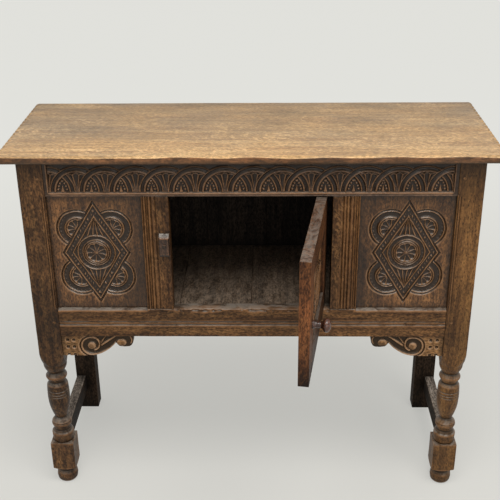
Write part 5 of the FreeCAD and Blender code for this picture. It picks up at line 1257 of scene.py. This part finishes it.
def make_top():
    """The board's worked upper face, folded down over its edges."""
    low, high = cad_box("top_board")
    xs = grid_lines(low[0], high[0], 4.0, 9.0)
    ys = np.unique(np.concatenate((grid_lines(low[1], high[1], 1.6, 3.0),
                                   low[1] + np.linspace(3, 16, 14))))
    x, y = np.meshgrid(xs, ys, indexing="ij")
    z = top_heights(x, y, low, high)
    grime_and_shade = top_shade_and_grime(x, y, low, high)
    x, y = top_outline(x, y, low, high)
    front = np.stack((x, y + FRONT, z), -1)
    edge = np.stack([border(front[..., axis]) for axis in range(3)], -1)
    centre = np.array([(low[0] + high[0]) / 2, (low[1] + high[1]) / 2 + FRONT])
    reach = np.array([(high[0] - low[0]) / 2, (high[1] - low[1]) / 2])
    side_way = unit((np.abs(edge[:, :2] - centre) - reach + 12) / 12)
    side_way = side_way * np.sign(edge[:, :2] - centre)
    rings = []
    for share, inset in EDGE_RINGS:
        ring = edge.copy()
        ring[:, 2] = edge[:, 2] + (low[2] - edge[:, 2]) * share
        ring[:, :2] -= side_way * inset
        rings.append(ring)
    points, faces = closed_skin(front, rings)
    # The edge darkens towards the underside: painted shade.
    below = [np.full(len(edge), 0.05 + 0.8 * share ** 4) for share, inset in EDGE_RINGS]
    grime_and_shade = np.concatenate([grime_and_shade.ravel()] + below)
    return add_part("worn_top_board", points, faces, woods["top_x"], "case",
                    ["top_board"], None, grime_and_shade)


top = make_top()
print("top board:", len(top.data.vertices), "points")

# %% [markdown]
# ## The open door
# The door stands open on its two pins, so its own left and right have turned by 81.6
# degrees. Its pieces are easier to think of with the door shut, flat behind the posts'
# front, and one function then turns their finished points about the pins. A rotation on
# the object would do the same, but parts here keep their place in their points. The
# panel has the carving of its neighbours, laid on its side to suit its shape.

# %% Door panel and knob
PIN = np.array(frame["record"]["behaviour"]["joints"][0]["pos_m"]) / MM
DOOR_OPEN = -DOOR_TURN
DOOR_FREE, DOOR_LOW = -174.1, 502.0
PANEL_LOW, PANEL_HIGH = np.array([-113.6, 6.0, 560.5]), np.array([113.6, 16.0, 714.5])
KNOB_REACH, KNOB_RADIUS = 37.0, 14.0
KNOB_PLACE = (DOOR_FREE + 38.0, DOOR_LOW + 120.0)
KNOB = ((0, .60), (.06, .62), (.14, .52), (.22, .46), (.48, .46), (.55, .56), (.60, .80),
        (.67, .96), (.75, 1.0), (.85, .95), (.93, .74), (.98, .46), (1.0, .20))


def hang(points):
    """Turn points of the shut door to where it stands open."""
    across, deep = points[:, 0] - PIN[0], points[:, 1] - PIN[1]
    turned = points.copy()
    turned[:, 0] = PIN[0] + across * math.cos(DOOR_OPEN) - deep * math.sin(DOOR_OPEN)
    turned[:, 1] = PIN[1] + across * math.sin(DOOR_OPEN) + deep * math.cos(DOOR_OPEN)
    return turned


def door_panel_face(x, z):
    centre = (PANEL_LOW + PANEL_HIGH) / 2
    carved = lozenge_panel(z, x, (centre[2], centre[0]), 0.9)
    return blurred(carved, 1) * 0.9


panel = slab("carved_door_panel", "door_panel", door_panel_face, 0.8, woods["door_panel"],
             body="door", low=PANEL_LOW, high=PANEL_HIGH, arris=0.6, seed=71, wobble=0.25,
             place=hang)


def make_knob():
    """A turned knob with the spigot that holds it in the stile."""
    turns = np.linspace(0, 2 * math.pi, 72, endpoint=False)
    shares = np.linspace(0, 1, 90)
    radii = np.interp(shares, [one[0] for one in KNOB], [one[1] for one in KNOB])
    radii = softened(radii, 3) * KNOB_RADIUS
    deep = np.concatenate(([22.0, 21.6, 0.02], -shares * KNOB_REACH, [-KNOB_REACH - 0.05]))
    radii = np.concatenate(([4.5, 4.9, 4.9], radii, [radii[-1] * 0.4]))
    turn, away = np.meshgrid(turns, deep, indexing="ij")
    reach = radii[None, :] + 0.12 * np.sin(turn * 2 + away * 0.2)
    points = np.stack((KNOB_PLACE[0] + reach * np.cos(turn), away + FRONT,
                       KNOB_PLACE[1] + reach * np.sin(turn)), -1)
    faces = turned_skin(points[..., 0])
    return add_part("turned_knob", hang(points.reshape(-1, 3)), faces, woods["knob"], "door",
                    ["door_knob"])


def button_face(x, z):
    """A stick of oak with its ends cut away on the slant and its sides eased."""
    low, high = cad_box("turn_button")
    top = np.clip(9.4 - (high[2] - z), 0, 10) * 0.78
    foot = np.clip(6.5 - (z - low[2]), 0, 7) * 0.55
    side = np.minimum(x - low[0], high[0] - x)
    return -np.maximum(np.maximum(top, foot), np.clip(2.6 - side, 0, 3) * 0.6)


button = slab("whittled_turn_button", "turn_button", button_face, 0.8, woods["button_z"],
              body="turn_button", arris=0.8, seed=74, wobble=0.25)
knob = make_knob()
print("door panel:", len(panel.data.vertices), "points; knob:", len(knob.data.vertices))

# %% [markdown]
# ## Wood for the rest of the frame
# The sides, the back, the floor, the door's frame and the pegs have their true shapes
# already, so they only need wood and worn edges. A weld joins the seams between their
# faces and a small bevel rounds every arris, which is cheaper than a fine mesh where
# nothing is carved. Each piece takes the wood whose grain runs along it.

# %% Assign woods
def soften(part, width):
    """Join a part's seams and round its edges by `width` millimetres."""
    weld = part.modifiers.new("join", "WELD")
    weld.merge_threshold = 0.00002
    bevel = part.modifiers.new("worn arrises", "BEVEL")
    bevel.width, bevel.segments = width * MM, 2
    bevel.limit_method, bevel.angle_limit = "ANGLE", math.radians(35)


WOOD_OF_PART = (("nail", "iron"), ("pin", "iron"), ("pegs", "peg"), ("door_stop", "inner_x"),
                ("door_top_rail", "door_x"), ("door_bottom_rail", "door_x"), ("door_", "door_z"),
                ("turn_button", "button_z"), ("leg", "rear_z"), ("back_board", "inner_z"),
                ("floor_board", "floor_y"), ("floor_ledger", "inner_x"), ("rear_", "inner_x"),
                ("side_panel", "plain_z"), ("side_", "frame_y"), ("stretcher", "stretcher_y"),
                ("", "frame_x"))
ARRIS_OF_PART = (("nail", 0.4), ("pin", 0.3), ("pegs", 0.5), ("stretcher", 2.0), ("leg", 2.0),
                 ("door_", 1.6), ("turn_button", 1.4), ("board", 0.6), ("", 1.2))


def first_match(name, table):
    return next(value for key, value in table if key in name)


for name, part in NODES.items():
    if part.hide_render:
        continue
    part.data.materials.clear()
    part.data.materials.append(woods[first_match(name, WOOD_OF_PART)])
    soften(part, first_match(name, ARRIS_OF_PART))
print("dressed:", sum(not part.hide_render for part in NODES.values()), "parts of the frame")
